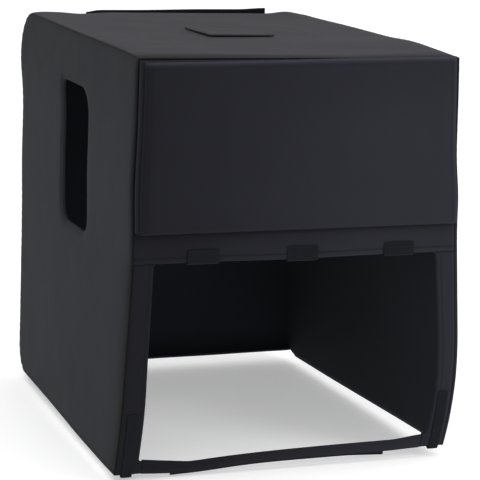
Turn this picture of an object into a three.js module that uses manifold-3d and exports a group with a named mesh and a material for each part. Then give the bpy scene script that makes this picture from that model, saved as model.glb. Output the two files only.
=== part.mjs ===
import * as THREE from 'three';
import { mergeVertices } from 'three/addons/utils/BufferGeometryUtils.js';
import Module from 'manifold-3d';

// A padded cloth cover for a large loudspeaker cabinet, hollow and open below.
// Sizes are in millimetres. +X is to the right seen from the front, +Y is to the back, +Z is up.
// Heights are given above the hem. The group is lowered at the end, so that the origin lies
// under the middle of the top, where the cabinet carries the cover.

// Body
const bodyDepth = 636;
const frontY = -bodyDepth / 2;
const rearY = bodyDepth / 2;
const hemZ = 2;
const topSeamHeight = 625.5;
const topSeamTilt = 1;
const topSeamDip = 2;
const topSeamDipLength = 45;
const leftSeam = {
  topHalf: 258.2,
  flare: 13.5,
  flareTopZ: 400,
  flareLowZ: 0,
  rearHalf: 253.5,
  hemDrop: 3.6,
  frontSwells: [{ z: 440, length: 60, height: 2.3 }, { z: 325, length: 35, height: -0.9 }],
  rearSwells: [{ z: 556, length: 58, height: 7 }, { z: 400, length: 85, height: 2 }],
};
const rightSeam = {
  topHalf: 245.5,
  flare: 27,
  flareTopZ: 620,
  flareLowZ: 120,
  rearHalf: 248,
  hemDrop: -3,
  frontSwells: [
    { z: 560, length: 85, height: 3 }, { z: 412, length: 42, height: 3 }, { z: 165, length: 60, height: 1.8 },
  ],
  rearSwells: [],
};
const rearFlare = 2;
const bodyHalfWidth = 251;
const hemDropHeight = 70;
const hemDropRearY = 180;
const hemDropFade = 400;
const topSwells = [
  { x: 251, y: -165, lengthX: 160, lengthY: 65, height: 2.9 },
  { x: 251, y: 300, lengthX: 60, lengthY: 150, height: -2.6 },
  { x: 212, y: 300, lengthX: 24, lengthY: 80, height: 5 },
  { x: -165, y: 300, lengthX: 30, lengthY: 80, height: -2.6 },
];
const setbackDepth = 27;
const setbackTopZ = 130;
const setbackPower = 1.8;
const dropStartZ = 598;
const rearBendMiddle = 28;
const rearBendSeam = 42;
const rearHemBend = 46;
const rearHemAngle = 60;

// Cloth
const foamThickness = 4;
const padRise = 3.5;
const topPadRise = 2.2;
const topSag = 1.4;
const frontPadRise = 2;
const rollLength = 5;
const topFrontRoll = 14;
const softRoll = { length: 20, topZ: 400, fadeHeight: 150 };
const sideBulge = 1.5;
const hemPadShare = 0.4;
const waveHeight = 0.8;
const waveLengths = [88, 105];
const seamGap = 0.32;
const clearance = 0.5;
const wrapClearance = 0.65;
const postMitre = 1.1;

// Front frame and its opening
const headerZ = 324.5;
const headerSag = 1.6;
const headerSagX = -5;
const headerSagLength = 75;
const headerSagHeight = 40;
const openingHalfTop = 226.5;
const openingTopRadius = 6;
const leftOpening = { slant: 8.5, bow: 0.5, bottomZ: 22, bottomRadius: 5 };
const rightOpening = { slant: 10.2, bow: 8.5, bottomZ: 27, bottomRadius: 8 };
const openingBowPower = 1.25;
const strip = {
  topZ: 22.3,
  topDip: 10,
  topDipX: -151,
  topDipLeft: 77,
  topDipRight: 105,
  topDipRounding: 8,
  topRise: 5.6,
  topRiseX: 175,
  lowZ: 2.5,
  lowDip: 8.5,
  lowDipX: -165,
  lowDipLength: 90,
  lowRise: 1.8,
  lowRiseX: 170,
  riseLength: 60,
};

// Front flap, folded double
const flapThickness = 5.5;
const flapLayerGap = 1.4;
const flapFoldZ = 370;
const flapInnerTopZ = 622;
const flapOuterTopZ = 620.5;
const flapOuterTopRise = 5.5;
const flapOuterInset = 6;
const flapRightInsetTop = 11;
const flapRightInsetLow = 7.6;
const flapCrown = 2.5;

// Handle slots in the two sides
const slotFrontY = frontY + 236;
const slotRearY = frontY + 373;
const slotLowZ = 323;
const slotTopZ = 547;
const slotReach = 60;
const slotRadii = { frontTop: 38, rearTop: 10, rearLow: 30, frontLow: 22 };

// Tape pieces
const tapeThickness = 1.3;
const tabWidth = 49;
const tabPitch = 157;
const tabMiddleX = 5.3;
const tabTopZ = 344;
const tabBackZ = 340;
const tabHang = 3.1;
const wrapLift = 0.3;
const strapWidth = 16;
const strapX = 252.5;
const strapTopLeftZ = 100;
const strapTopRightZ = 103;
const strapBackZ = 20;
const strapHang = 4.1;
const hookStrip = {
  left: -180, right: 171, belowTop: 9, belowStrip: 3.4, rightDrop: 2.5, rightDropX: 100, tipDrop: 1,
  tipLength: 12,
};

// Flap over the pole socket, on the top
const poleFlap = {
  x: -12, halfWidth: 54, frontY: frontY + 238, depth: 120, thickness: 2.6, lift: 1.6, liftLeft: 0.6,
};

// Flap on the back
const rearFlap = {
  left: -146, right: 184, lowZ: 216, topZ: 628, rightRise: 1.6, tipRise: 2.2, cornerDrop: 3.4, crown: 1.2,
  thickness: 4.5,
};

// Height of the cabinet's top, where the origin lies
const cabinetTopZ = 617;

// Places along an edge, as parts of its length
const acrossParts = [-1, -0.98, -0.945, -0.84, -0.6, -0.3, 0, 0.3, 0.6, 0.84, 0.945, 0.98, 1];
const alongParts = [0, 0.009, 0.024, 0.055, 0.12, 0.22, 0.34, 0.46, 0.58, 0.7, 0.82, 0.92, 0.98, 0.993, 1];
const wallParts = [0, 0.03, 0.065, 0.105, 0.15, 0.2, 0.27, 0.34, 0.42, 0.5, 0.58, 0.67, 0.76, 0.84, 0.92, 1];
const topBendAngles = [18, 36, 54, 72, 90];
const hemBendAngles = [0, 10, 20, 30, 40, 60, 90];

const wasm = await Module();
wasm.setup();

const smooth = (t) => THREE.MathUtils.smoothstep(t, 0, 1);
const lerp = THREE.MathUtils.lerp;
const radians = THREE.MathUtils.degToRad;
const fall = (distance, length) => Math.exp(-((distance / length) ** 2));

// Distance of a side seam from the middle: the front leans over to the left and flares at the hem
function seamDistance(side, y, z) {
  const seam = side < 0 ? leftSeam : rightSeam;
  const flare = seam.flare * smooth((seam.flareTopZ - z) / (seam.flareTopZ - seam.flareLowZ));
  const front = seam.topHalf + flare + swell(seam.frontSwells, z);
  const rear = seam.rearHalf + rearFlare * smooth(1 - z / topSeamHeight) + swell(seam.rearSwells, z);
  return lerp(front, rear, (y - frontY) / bodyDepth);
}

function swell(places, z) {
  return places.reduce((sum, place) => sum + place.height * fall(z - place.z, place.length), 0);
}

// The hem hangs lower at the front of the left side and higher at the front of the right side
function hungZ(side, y, height) {
  const drop = (side < 0 ? leftSeam : rightSeam).hemDrop * smooth((hemDropRearY - y) / hemDropFade);
  return height - drop * smooth(1 - height / hemDropHeight);
}

// The front curves back towards the hem
function setback(z) {
  return setbackDepth * Math.max(0, (setbackTopZ - z) / setbackTopZ) ** setbackPower;
}

// Drop of the top below its seam height at the middle: it dips along the front, tilts to the right
// and swells unevenly along its right and rear edges
function topDrop(x, y) {
  const swells = topSwells.reduce((sum, place) => (
    sum + place.height * fall(x - place.x, place.lengthX) * fall(y - place.y, place.lengthY)), 0);
  return topSeamDip * fall(y - frontY, topSeamDipLength) + topSeamTilt * x / bodyHalfWidth - swells;
}

function topSeamZ(x, y) {
  return topSeamHeight - topDrop(x, y);
}

// The bend from the top to the back is wider at the side seams than in the middle
function rearBend(part) {
  return lerp(rearBendMiddle, rearBendSeam, Math.abs(part) ** 3);
}

// Padding rises away from a seam
function rise(distance, length = rollLength) {
  return 1 - Math.exp(-Math.max(0, distance) / length);
}

function softWave(a, b, seed) {
  return waveHeight * Math.sin(a / waveLengths[0] + seed) * Math.sin(b / waveLengths[1] + 2 * seed);
}

// Closed mesh between two grids of points
function gridSolid(outer, inner) {
  const columns = outer.length;
  const rows = outer[0].length;
  const positions = [];
  const index = [];
  for (const grid of [outer, inner]) {
    for (const line of grid) {
      for (const point of line) positions.push(point.x, point.y, point.z);
    }
  }
  const at = (layer, i, j) => layer * columns * rows + i * rows + j;
  const quad = (a, b, c, d) => index.push(a, b, c, a, c, d);
  for (let i = 0; i < columns - 1; i += 1) {
    for (let j = 0; j < rows - 1; j += 1) {
      quad(at(0, i, j), at(0, i + 1, j), at(0, i + 1, j + 1), at(0, i, j + 1));
      quad(at(1, i, j), at(1, i, j + 1), at(1, i + 1, j + 1), at(1, i + 1, j));
    }
  }
  for (let i = 0; i < columns - 1; i += 1) {
    quad(at(0, i, 0), at(1, i, 0), at(1, i + 1, 0), at(0, i + 1, 0));
    quad(at(0, i + 1, rows - 1), at(1, i + 1, rows - 1), at(1, i, rows - 1), at(0, i, rows - 1));
  }
  for (let j = 0; j < rows - 1; j += 1) {
    quad(at(0, 0, j + 1), at(1, 0, j + 1), at(1, 0, j), at(0, 0, j));
    quad(at(0, columns - 1, j), at(1, columns - 1, j), at(1, columns - 1, j + 1), at(0, columns - 1, j + 1));
  }
  const geometry = new THREE.BufferGeometry();
  geometry.setAttribute('position', new THREE.Float32BufferAttribute(positions, 3));
  geometry.setIndex(signedVolume(positions, index) < 0 ? reversed(index) : index);
  return geometry;
}

function signedVolume(positions, index) {
  const corners = [new THREE.Vector3(), new THREE.Vector3(), new THREE.Vector3()];
  let volume = 0;
  for (let k = 0; k < index.length; k += 3) {
    corners.forEach((corner, n) => corner.fromArray(positions, 3 * index[k + n]));
    volume += corners[0].dot(corners[1].clone().cross(corners[2])) / 6;
  }
  return volume;
}

function reversed(index) {
  const result = [];
  for (let k = 0; k < index.length; k += 3) result.push(index[k], index[k + 2], index[k + 1]);
  return result;
}

// Unit normals of a grid, on the side of the reference direction at its first point
function gridNormals(grid, reference) {
  const last = { i: grid.length - 1, j: grid[0].length - 1 };
  const normals = grid.map((line, i) => line.map((_, j) => {
    const along = grid[Math.min(i + 1, last.i)][j].clone().sub(grid[Math.max(i - 1, 0)][j]);
    const up = line[Math.min(j + 1, last.j)].clone().sub(line[Math.max(j - 1, 0)]);
    return along.cross(up).normalize();
  }));
  if (normals[0][0].dot(reference) < 0) normals.flat().forEach((normal) => normal.negate());
  return normals;
}

// Cloth of some thickness behind a surface. place(i, j, inset) gives a point of the sewn surface,
// with its mitred edges drawn in by inset, and relief(point, i, j) how far the face stands out.
function clothSolid({ columns, rows, place, relief, thickness, reference, lastRowNormal }) {
  const grid = (inset) => Array.from({ length: columns },
    (_, i) => Array.from({ length: rows }, (__, j) => place(i, j, inset)));
  const sewn = grid(seamGap);
  const drawnIn = grid(thickness + seamGap);
  const sewnNormals = gridNormals(sewn, reference);
  const innerNormals = gridNormals(drawnIn, reference);
  if (lastRowNormal) {
    for (const normals of [sewnNormals, innerNormals]) {
      normals.forEach((line) => line[rows - 1].copy(lastRowNormal));
    }
  }
  const outer = sewn.map((line, i) => line.map((point, j) => (
    point.clone().addScaledVector(sewnNormals[i][j], relief(point, i, j)))));
  const inner = drawnIn.map((line, i) => line.map((point, j) => (
    point.clone().addScaledVector(innerNormals[i][j], -thickness))));
  return gridSolid(outer, inner);
}

function toManifold(geometry) {
  const bare = geometry.clone();
  bare.deleteAttribute('normal');
  bare.deleteAttribute('uv');
  const merged = mergeVertices(bare, 1e-4);
  return new wasm.Manifold(new wasm.Mesh({
    numProp: 3,
    vertProperties: Float32Array.from(merged.attributes.position.array),
    triVerts: Uint32Array.from(merged.index.array),
  }));
}

function fromManifold(solid) {
  const mesh = solid.getMesh();
  const geometry = new THREE.BufferGeometry();
  geometry.setAttribute('position', new THREE.BufferAttribute(Float32Array.from(mesh.vertProperties), 3));
  geometry.setIndex(Array.from(mesh.triVerts));
  return geometry;
}

// Side panels

function slotCutter() {
  const { frontTop, rearTop, rearLow, frontLow } = slotRadii;
  const shape = new THREE.Shape();
  shape.absarc(slotRearY - rearLow, slotLowZ + rearLow, rearLow, -Math.PI / 2, 0);
  shape.absarc(slotRearY - rearTop, slotTopZ - rearTop, rearTop, 0, Math.PI / 2);
  shape.absarc(slotFrontY + frontTop, slotTopZ - frontTop, frontTop, Math.PI / 2, Math.PI);
  shape.absarc(slotFrontY + frontLow, slotLowZ + frontLow, frontLow, Math.PI, 1.5 * Math.PI);
  const reach = 2 * (bodyHalfWidth + slotReach);
  const geometry = new THREE.ExtrudeGeometry(shape, { depth: reach, bevelEnabled: false, curveSegments: 6 });
  geometry.translate(0, 0, -reach / 2);
  geometry.applyMatrix4(new THREE.Matrix4().makeBasis(
    new THREE.Vector3(0, 1, 0), new THREE.Vector3(0, 0, 1), new THREE.Vector3(1, 0, 0)));
  return toManifold(geometry);
}

// Rows of a side panel from the hem up: a bend, a straight wall and the bend to the top
function sideRows() {
  const hem = hemBendAngles.slice().reverse().map((angle) => ({ bend: 'hem', angle }));
  const wallLow = hemZ + rearHemBend;
  const wallTop = topSeamHeight - rearBendSeam;
  const wall = wallParts.slice(1).map((part) => ({ bend: null, z: lerp(wallLow, wallTop, part) }));
  const top = topBendAngles.map((angle) => ({ bend: 'top', angle }));
  return [...hem, ...wall, ...top];
}

function sideRearEdge(row, inset) {
  if (row.bend === 'hem') {
    const angle = radians(row.angle);
    const radius = rearHemBend - (row.angle === 90 ? 0 : inset);
    return [rearY - rearHemBend + radius * Math.cos(angle), hemZ + rearHemBend - radius * Math.sin(angle)];
  }
  if (row.bend === 'top') {
    const angle = radians(row.angle);
    const radius = rearBendSeam - inset;
    return [rearY - rearBendSeam + radius * Math.cos(angle),
      topSeamHeight - rearBendSeam + radius * Math.sin(angle)];
  }
  return [rearY - inset, row.z];
}

// The pieces sewn to the front edge of a side share its heights
const seamHeights = sideRows().map((row) => sideRearEdge(row, 0)[1]);

function sidePanel(side) {
  const rows = sideRows();
  const place = (i, j, inset) => {
    const [rearEdge, height] = sideRearEdge(rows[j], inset);
    const frontEdge = frontY + setback(height) + inset;
    const y = lerp(frontEdge, rearEdge, alongParts[i]);
    const atTop = smooth((height - dropStartZ) / (topSeamHeight - dropStartZ));
    const z = hungZ(side, y, height) - atTop * topDrop(side * bodyHalfWidth, y);
    return new THREE.Vector3(side * seamDistance(side, y, z), y, z);
  };
  const relief = (point, i, j) => {
    const [rearEdge, height] = sideRearEdge(rows[j], 0);
    const softness = smooth((softRoll.topZ - point.z) / softRoll.fadeHeight);
    const frontRoll = lerp(rollLength, softRoll.length, softness);
    const edges = rise(point.y - frontY - setback(height), frontRoll) * rise(rearEdge - point.y)
      * rise(topSeamHeight - height) * lerp(hemPadShare, 1, rise(height - hemZ));
    const bulge = sideBulge * Math.sin(Math.PI * alongParts[i]) * Math.sin(Math.PI * height / topSeamHeight);
    return edges * (padRise + bulge + softWave(point.y, point.z, side));
  };
  const cloth = clothSolid({
    columns: alongParts.length,
    rows: rows.length,
    place,
    relief,
    thickness: foamThickness,
    reference: new THREE.Vector3(side, 0, 0),
  });
  return fromManifold(toManifold(cloth).subtract(slotCutter()));
}

// Top and back

function topRelief(x, y) {
  const fromSide = seamDistance(x, y, topSeamHeight) - Math.abs(x);
  const sag = topSag * (1 - (x / bodyHalfWidth) ** 2);
  return rise(fromSide) * rise(y - frontY, topFrontRoll) * (topPadRise - sag + softWave(x, y, 0.7));
}

function topPanel() {
  const rows = [...alongParts.map((part) => ({ part })), ...topBendAngles.map((angle) => ({ angle }))];
  const place = (i, j, inset) => {
    const radius = rearBend(acrossParts[i]);
    const row = rows[j];
    const angle = radians(row.angle ?? 0);
    const flatY = lerp(frontY + inset, rearY - radius, row.part ?? 1);
    const y = flatY + radius * Math.sin(angle);
    const height = topSeamHeight - radius * (1 - Math.cos(angle)) + (row.angle === 90 ? seamGap : 0);
    const atTop = smooth((height - dropStartZ) / (topSeamHeight - dropStartZ));
    const z = height - atTop * topDrop(acrossParts[i] * bodyHalfWidth, y);
    return new THREE.Vector3(acrossParts[i] * (seamDistance(acrossParts[i], y, z) - inset), y, z);
  };
  const relief = (point, i, j) => {
    const row = rows[j];
    if (row.angle === undefined) return topRelief(point.x, point.y);
    const fromSeam = rearBend(acrossParts[i]) * radians(90 - row.angle);
    const fromSide = seamDistance(point.x, point.y, point.z) - Math.abs(point.x);
    return topPadRise * rise(fromSide) * rise(fromSeam);
  };
  return clothSolid({
    columns: acrossParts.length,
    rows: rows.length,
    place,
    relief,
    thickness: foamThickness,
    reference: new THREE.Vector3(0, -0.2, 1),
    lastRowNormal: new THREE.Vector3(0, 1, 0),
  });
}

function backPanel() {
  const rows = [...hemBendAngles.filter((angle) => angle > 0 && angle <= rearHemAngle).reverse()
    .map((angle) => ({ angle })), ...wallParts.map((part) => ({ part }))];
  const wallLow = hemZ + rearHemBend;
  const place = (i, j, inset) => {
    const row = rows[j];
    let y = rearY;
    let z;
    if (row.angle === undefined) {
      z = lerp(wallLow, topSeamHeight - rearBend(acrossParts[i]) - seamGap, row.part);
    } else {
      const angle = radians(row.angle);
      y = rearY - rearHemBend * (1 - Math.cos(angle));
      z = wallLow - rearHemBend * Math.sin(angle);
    }
    return new THREE.Vector3(acrossParts[i] * (seamDistance(acrossParts[i], y, z) - inset), y, z);
  };
  const relief = (point, i, j) => {
    const fromSide = seamDistance(point.x, point.y, point.z) - Math.abs(point.x);
    const fromSeam = topSeamHeight - rearBend(acrossParts[i]) - point.z;
    const padShare = j === 0 ? hemPadShare : 1;
    return padRise * rise(fromSide) * rise(fromSeam) * padShare;
  };
  return clothSolid({
    columns: acrossParts.length,
    rows: rows.length,
    place,
    relief,
    thickness: foamThickness,
    reference: new THREE.Vector3(0, 1, 0),
  });
}

// Front frame

function headerSagAt(x) {
  return headerSag * fall(x - headerSagX, headerSagLength);
}

function frontHeader() {
  const drops = [40, 15, 5, 0];
  const highest = topSeamHeight - 1.5 * drops[0];
  const heights = [headerZ, headerZ + 6, ...seamHeights.filter((z) => z > headerZ + 12 && z < highest)];
  const place = (i, j, inset) => {
    const middleX = acrossParts[i] * bodyHalfWidth;
    const seamZ = topSeamZ(middleX, frontY) - inset;
    const height = j < heights.length ? heights[j] : seamZ - drops[j - heights.length];
    const z = height - headerSagAt(middleX) * smooth(1 - (height - headerZ) / headerSagHeight);
    return new THREE.Vector3(acrossParts[i] * (seamDistance(acrossParts[i], frontY, z) - inset), frontY, z);
  };
  const relief = (point) => {
    const fromSide = seamDistance(point.x, frontY, point.z) - Math.abs(point.x);
    const fromTop = topSeamZ(point.x, frontY) - point.z;
    const fromHem = point.z - headerZ + headerSagAt(point.x);
    return frontPadRise * rise(fromSide) * rise(fromTop) * rise(fromHem);
  };
  return clothSolid({
    columns: acrossParts.length,
    rows: heights.length + drops.length,
    place,
    relief,
    thickness: foamThickness,
    reference: new THREE.Vector3(0, -1, 0),
  });
}

// Distance from the middle to the opening's edge
function openingHalfWidth(side, z) {
  const { slant, bow, bottomZ, bottomRadius } = side < 0 ? leftOpening : rightOpening;
  const part = THREE.MathUtils.clamp((headerZ - z) / (headerZ - bottomZ), 0, 1);
  const bowed = bow * Math.sin(Math.PI * part ** openingBowPower);
  const topCorner = cornerFillet(headerZ - z, openingTopRadius);
  const bottomCorner = cornerFillet(z - bottomZ, bottomRadius);
  return openingHalfTop + slant * part + bowed - topCorner - bottomCorner;
}

function cornerFillet(distance, radius) {
  const inside = THREE.MathUtils.clamp(radius - distance, 0, radius);
  return radius - Math.sqrt(radius ** 2 - inside ** 2);
}

function frontPost(side) {
  const { bottomZ, bottomRadius } = side < 0 ? leftOpening : rightOpening;
  const lowCorner = [0, 2, bottomRadius].map((rise) => bottomZ + rise);
  const topCorner = [6, 4, 1.8, 0.4].map((drop) => headerZ - drop);
  const heights = [...seamHeights.filter((z) => z < headerZ - 8), ...lowCorner, ...topCorner];
  heights.sort((a, b) => a - b);
  const parts = [0, 0.1, 0.28, 0.55, 0.8, 0.93, 1];
  const place = (i, j, inset) => {
    const y = frontY + setback(heights[j]);
    const z = hungZ(side, y, heights[j]);
    const x = lerp(openingHalfWidth(side, heights[j]), seamDistance(side, y, z) - postMitre * inset, parts[i]);
    return new THREE.Vector3(side * x, y, z);
  };
  const relief = (point, i, j) => {
    const fromSeam = seamDistance(side, point.y, point.z) - Math.abs(point.x);
    const fromEdge = Math.abs(point.x) - openingHalfWidth(side, heights[j]);
    const ends = rise(headerZ - heights[j]) * rise(heights[j] - hemZ);
    return frontPadRise * rise(fromSeam) * rise(fromEdge) * ends;
  };
  return clothSolid({
    columns: parts.length,
    rows: heights.length,
    place,
    relief,
    thickness: foamThickness,
    reference: new THREE.Vector3(0, -1, 0),
  });
}

// The strip sags towards its left end and rises into the corner at its right end
function stripTop(x) {
  const distance = Math.hypot(x - strip.topDipX, strip.topDipRounding) - strip.topDipRounding;
  const dip = x < strip.topDipX
    ? Math.max(0, 1 - distance / strip.topDipLeft) : Math.exp(-distance / strip.topDipRight);
  return strip.topZ - strip.topDip * dip + strip.topRise * smooth((x - strip.topRiseX) / strip.riseLength);
}

function stripLow(x) {
  const dip = strip.lowDip * fall(x - strip.lowDipX, strip.lowDipLength);
  return strip.lowZ - dip + strip.lowRise * smooth((x - strip.lowRiseX) / strip.riseLength);
}

function frontBottomStrip() {
  const steps = 26;
  const parts = [0, 0.22, 0.5, 0.78, 1];
  const left = -openingHalfWidth(-1, leftOpening.bottomZ) + clearance;
  const right = openingHalfWidth(1, rightOpening.bottomZ) - clearance;
  const place = (i, j) => {
    const x = lerp(left, right, i / steps);
    const z = lerp(stripLow(x), stripTop(x), parts[j]);
    return new THREE.Vector3(x, frontY + setback(z), z);
  };
  const relief = (point, i, j) => frontPadRise * Math.sin(Math.PI * parts[j]);
  return clothSolid({
    columns: steps + 1,
    rows: parts.length,
    place,
    relief,
    thickness: foamThickness,
    reference: new THREE.Vector3(0, -1, 0),
  });
}

// Front flap: down behind, round the fold and up in front

function frontFlap() {
  const backY = frontY - frontPadRise - clearance - seamGap;
  const radius = flapThickness + flapLayerGap / 2;
  const middleY = backY - radius;
  const foldZ = flapFoldZ + radius;
  const legParts = [0, 0.012, 0.035, 0.1, 0.25, 0.45, 0.65, 0.85, 1];
  const path = legParts.map((part) => ({ y: backY, z: lerp(flapInnerTopZ, foldZ, part), layer: 0 }));
  for (const angle of [30, 60, 90, 120, 150]) {
    path.push({
      y: middleY + radius * Math.cos(radians(angle)),
      z: foldZ - radius * Math.sin(radians(angle)),
      layer: angle / 180,
    });
  }
  for (const part of legParts.slice().reverse()) {
    path.push({ y: middleY - radius, z: lerp(flapOuterTopZ, foldZ, part), layer: 1 });
  }
  const height = (z) => THREE.MathUtils.clamp((z - foldZ) / (flapOuterTopZ - foldZ), 0, 1);
  const place = (i, j) => {
    const { y, z, layer } = path[j];
    const left = -seamDistance(-1, frontY, z) + flapOuterInset * smooth(layer);
    const right = seamDistance(1, frontY, z) - lerp(flapRightInsetLow, flapRightInsetTop, height(z));
    const x = lerp(left, right, (acrossParts[i] + 1) / 2);
    const raised = layer === 1 ? flapOuterTopRise * height(z) * smooth((x - left) / (right - left)) : 0;
    return new THREE.Vector3(x, y, z + raised);
  };
  const relief = (point, i, j) => {
    const { z, layer } = path[j];
    const across = Math.sin(Math.PI * (acrossParts[i] + 1) / 2);
    return layer === 1 ? flapCrown * across * Math.sin(Math.PI * height(z)) : 0;
  };
  return clothSolid({
    columns: acrossParts.length,
    rows: path.length,
    place,
    relief,
    thickness: flapThickness,
    reference: new THREE.Vector3(0, 1, 0),
  });
}

// Tape wrapped round a lower edge: down the face, round the edge and up behind.
// middle(z) gives the y of the middle of the cloth that it wraps, and hung(z) how that cloth hangs.
function wrappedTape({ centreX, width, middle, topZ, edgeZ, backZ, radius, hang, hung = (z) => z }) {
  const step = 1;
  const legSteps = 7;
  const path = [];
  const offset = (z, side) => {
    const tangent = new THREE.Vector2(middle(z + step) - middle(z - step), 2 * step).normalize();
    return [middle(z) - side * radius * tangent.y, z + side * radius * tangent.x];
  };
  for (let k = 0; k <= legSteps; k += 1) path.push(offset(lerp(topZ, edgeZ, k / legSteps), 1));
  const down = new THREE.Vector2(middle(edgeZ - step) - middle(edgeZ + step), -2 * step).normalize();
  for (const angle of [36, 72, 108, 144]) {
    const out = radius * Math.cos(radians(angle));
    const low = hang * Math.sin(radians(angle));
    path.push([middle(edgeZ) + out * down.y + low * down.x, edgeZ - out * down.x + low * down.y]);
  }
  for (let k = 0; k <= 2; k += 1) path.push(offset(lerp(edgeZ, backZ, k / 2), -1));
  const parts = [-0.5, -0.2, 0.2, 0.5];
  const place = (i, j) => new THREE.Vector3(centreX + width * parts[i], path[j][0], hung(path[j][1]));
  return clothSolid({
    columns: parts.length,
    rows: path.length,
    place,
    relief: () => 0,
    thickness: tapeThickness,
    reference: new THREE.Vector3(0, -1, 0),
  });
}

const wrapRadius = (foamThickness + frontPadRise) / 2 + wrapClearance + tapeThickness;
const wrapMiddle = (foamThickness - frontPadRise) / 2;

function headerTab(place) {
  const centreX = tabMiddleX + place * tabPitch;
  return wrappedTape({
    centreX,
    width: tabWidth,
    middle: () => frontY + wrapMiddle,
    topZ: tabTopZ,
    edgeZ: headerZ - headerSagAt(centreX) + wrapLift,
    backZ: tabBackZ,
    radius: wrapRadius,
    hang: tabHang,
  });
}

function postStrap(side) {
  return wrappedTape({
    centreX: side * strapX,
    width: strapWidth,
    middle: (z) => frontY + setback(z) + wrapMiddle,
    topZ: side < 0 ? strapTopLeftZ : strapTopRightZ,
    edgeZ: hemZ + wrapLift,
    backZ: strapBackZ,
    radius: wrapRadius,
    hang: strapHang,
    hung: (z) => hungZ(side, frontY, z),
  });
}

// Tape sewn behind the bottom strip, its two ends hanging a little below it
function bottomHookStrip() {
  const steps = 24;
  const { left, right, belowTop, belowStrip, rightDrop, rightDropX, tipDrop, tipLength } = hookStrip;
  const behind = foamThickness + 1.6 * clearance + tapeThickness;
  const place = (i, j) => {
    const x = lerp(left, right, i / steps);
    const tips = fall(x - left, tipLength) + fall(x - right, tipLength);
    const rightEnd = smooth((x - rightDropX) / strip.riseLength);
    const low = stripLow(x) - belowStrip - rightDrop * rightEnd - tipDrop * tips;
    const z = lerp(low, stripTop(x) - belowTop, j / 2);
    return new THREE.Vector3(x, frontY + setback(z) + behind, z);
  };
  return clothSolid({
    columns: steps + 1,
    rows: 3,
    place,
    relief: () => 0,
    thickness: tapeThickness,
    reference: new THREE.Vector3(0, 1, 0),
  });
}

function poleSocketFlap() {
  const steps = 6;
  const { x: middleX, halfWidth, frontY: near, depth, thickness, lift, liftLeft } = poleFlap;
  const place = (i, j) => {
    const x = middleX + lerp(-halfWidth, halfWidth, i / steps);
    const y = lerp(near, near + depth, j / steps);
    const raised = lift * (1 - smooth(j / steps)) * (1 - liftLeft * (i / steps));
    return new THREE.Vector3(x, y, topSeamZ(x, y) + topRelief(x, y) + clearance + thickness + raised);
  };
  return clothSolid({
    columns: steps + 1,
    rows: steps + 1,
    place,
    relief: () => 0,
    thickness,
    reference: new THREE.Vector3(0, 0, 1),
  });
}

// The back flap hangs flat on the back, and its upper edge stands up behind the bend, low at the left corner
// and high at the right one
function rearFlapTop(x) {
  const { left, right, topZ, rightRise, tipRise, cornerDrop } = rearFlap;
  return topZ + rightRise * smooth((x + 60) / 130) + tipRise * smooth((x - right + 54) / 54)
    - cornerDrop * fall(x - left, 14);
}

function rearFlapPanel() {
  const steps = 12;
  const parts = [0, 0.04, 0.2, 0.45, 0.7, 0.88, 0.97, 1];
  const { left, right, lowZ, crown, thickness } = rearFlap;
  const place = (i, j) => {
    const x = lerp(left, right, i / steps);
    const z = lerp(lowZ, rearFlapTop(x), parts[j]);
    return new THREE.Vector3(x, rearY + padRise + clearance + thickness, z);
  };
  return clothSolid({
    columns: steps + 1,
    rows: parts.length,
    place,
    relief: (point, i, j) => crown * Math.sin(Math.PI * parts[j]) * Math.sin(Math.PI * i / steps),
    thickness,
    reference: new THREE.Vector3(0, 1, 0),
  });
}

const finishes = {
  sideCloth: { color: 0x37393c, roughness: 0.86, metalness: 0 },
  frontCloth: { color: 0x2c2d31, roughness: 0.84, metalness: 0 },
  topCloth: { color: 0x3a3b3f, roughness: 0.84, metalness: 0 },
  tape: { color: 0x1a1b1e, roughness: 0.72, metalness: 0 },
};

const cover = new THREE.Group();
cover.position.z = -cabinetTopZ;

function add(name, geometry, finish) {
  const mesh = new THREE.Mesh(geometry, new THREE.MeshStandardMaterial(finishes[finish]));
  mesh.name = name;
  cover.add(mesh);
}

add('top_panel', topPanel(), 'topCloth');
add('left_side_panel', sidePanel(-1), 'sideCloth');
add('right_side_panel', sidePanel(1), 'sideCloth');
add('back_panel', backPanel(), 'sideCloth');
add('front_header', frontHeader(), 'frontCloth');
add('front_post_left', frontPost(-1), 'frontCloth');
add('front_post_right', frontPost(1), 'frontCloth');
add('front_bottom_strip', frontBottomStrip(), 'frontCloth');
add('front_flap', frontFlap(), 'frontCloth');
add('pole_flap', poleSocketFlap(), 'topCloth');
add('rear_flap', rearFlapPanel(), 'sideCloth');
add('header_tab_left', headerTab(-1), 'tape');
add('header_tab_middle', headerTab(0), 'tape');
add('header_tab_right', headerTab(1), 'tape');
add('post_strap_left', postStrap(-1), 'tape');
add('post_strap_right', postStrap(1), 'tape');
add('bottom_hook_strip', bottomHookStrip(), 'tape');

const group = new THREE.Group();
group.add(cover);

export default group;
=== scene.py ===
import math
from types import SimpleNamespace as Values

import bmesh
import bpy
import numpy as np
from mathutils import Matrix, Vector
from mathutils.geometry import delaunay_2d_cdt


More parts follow.
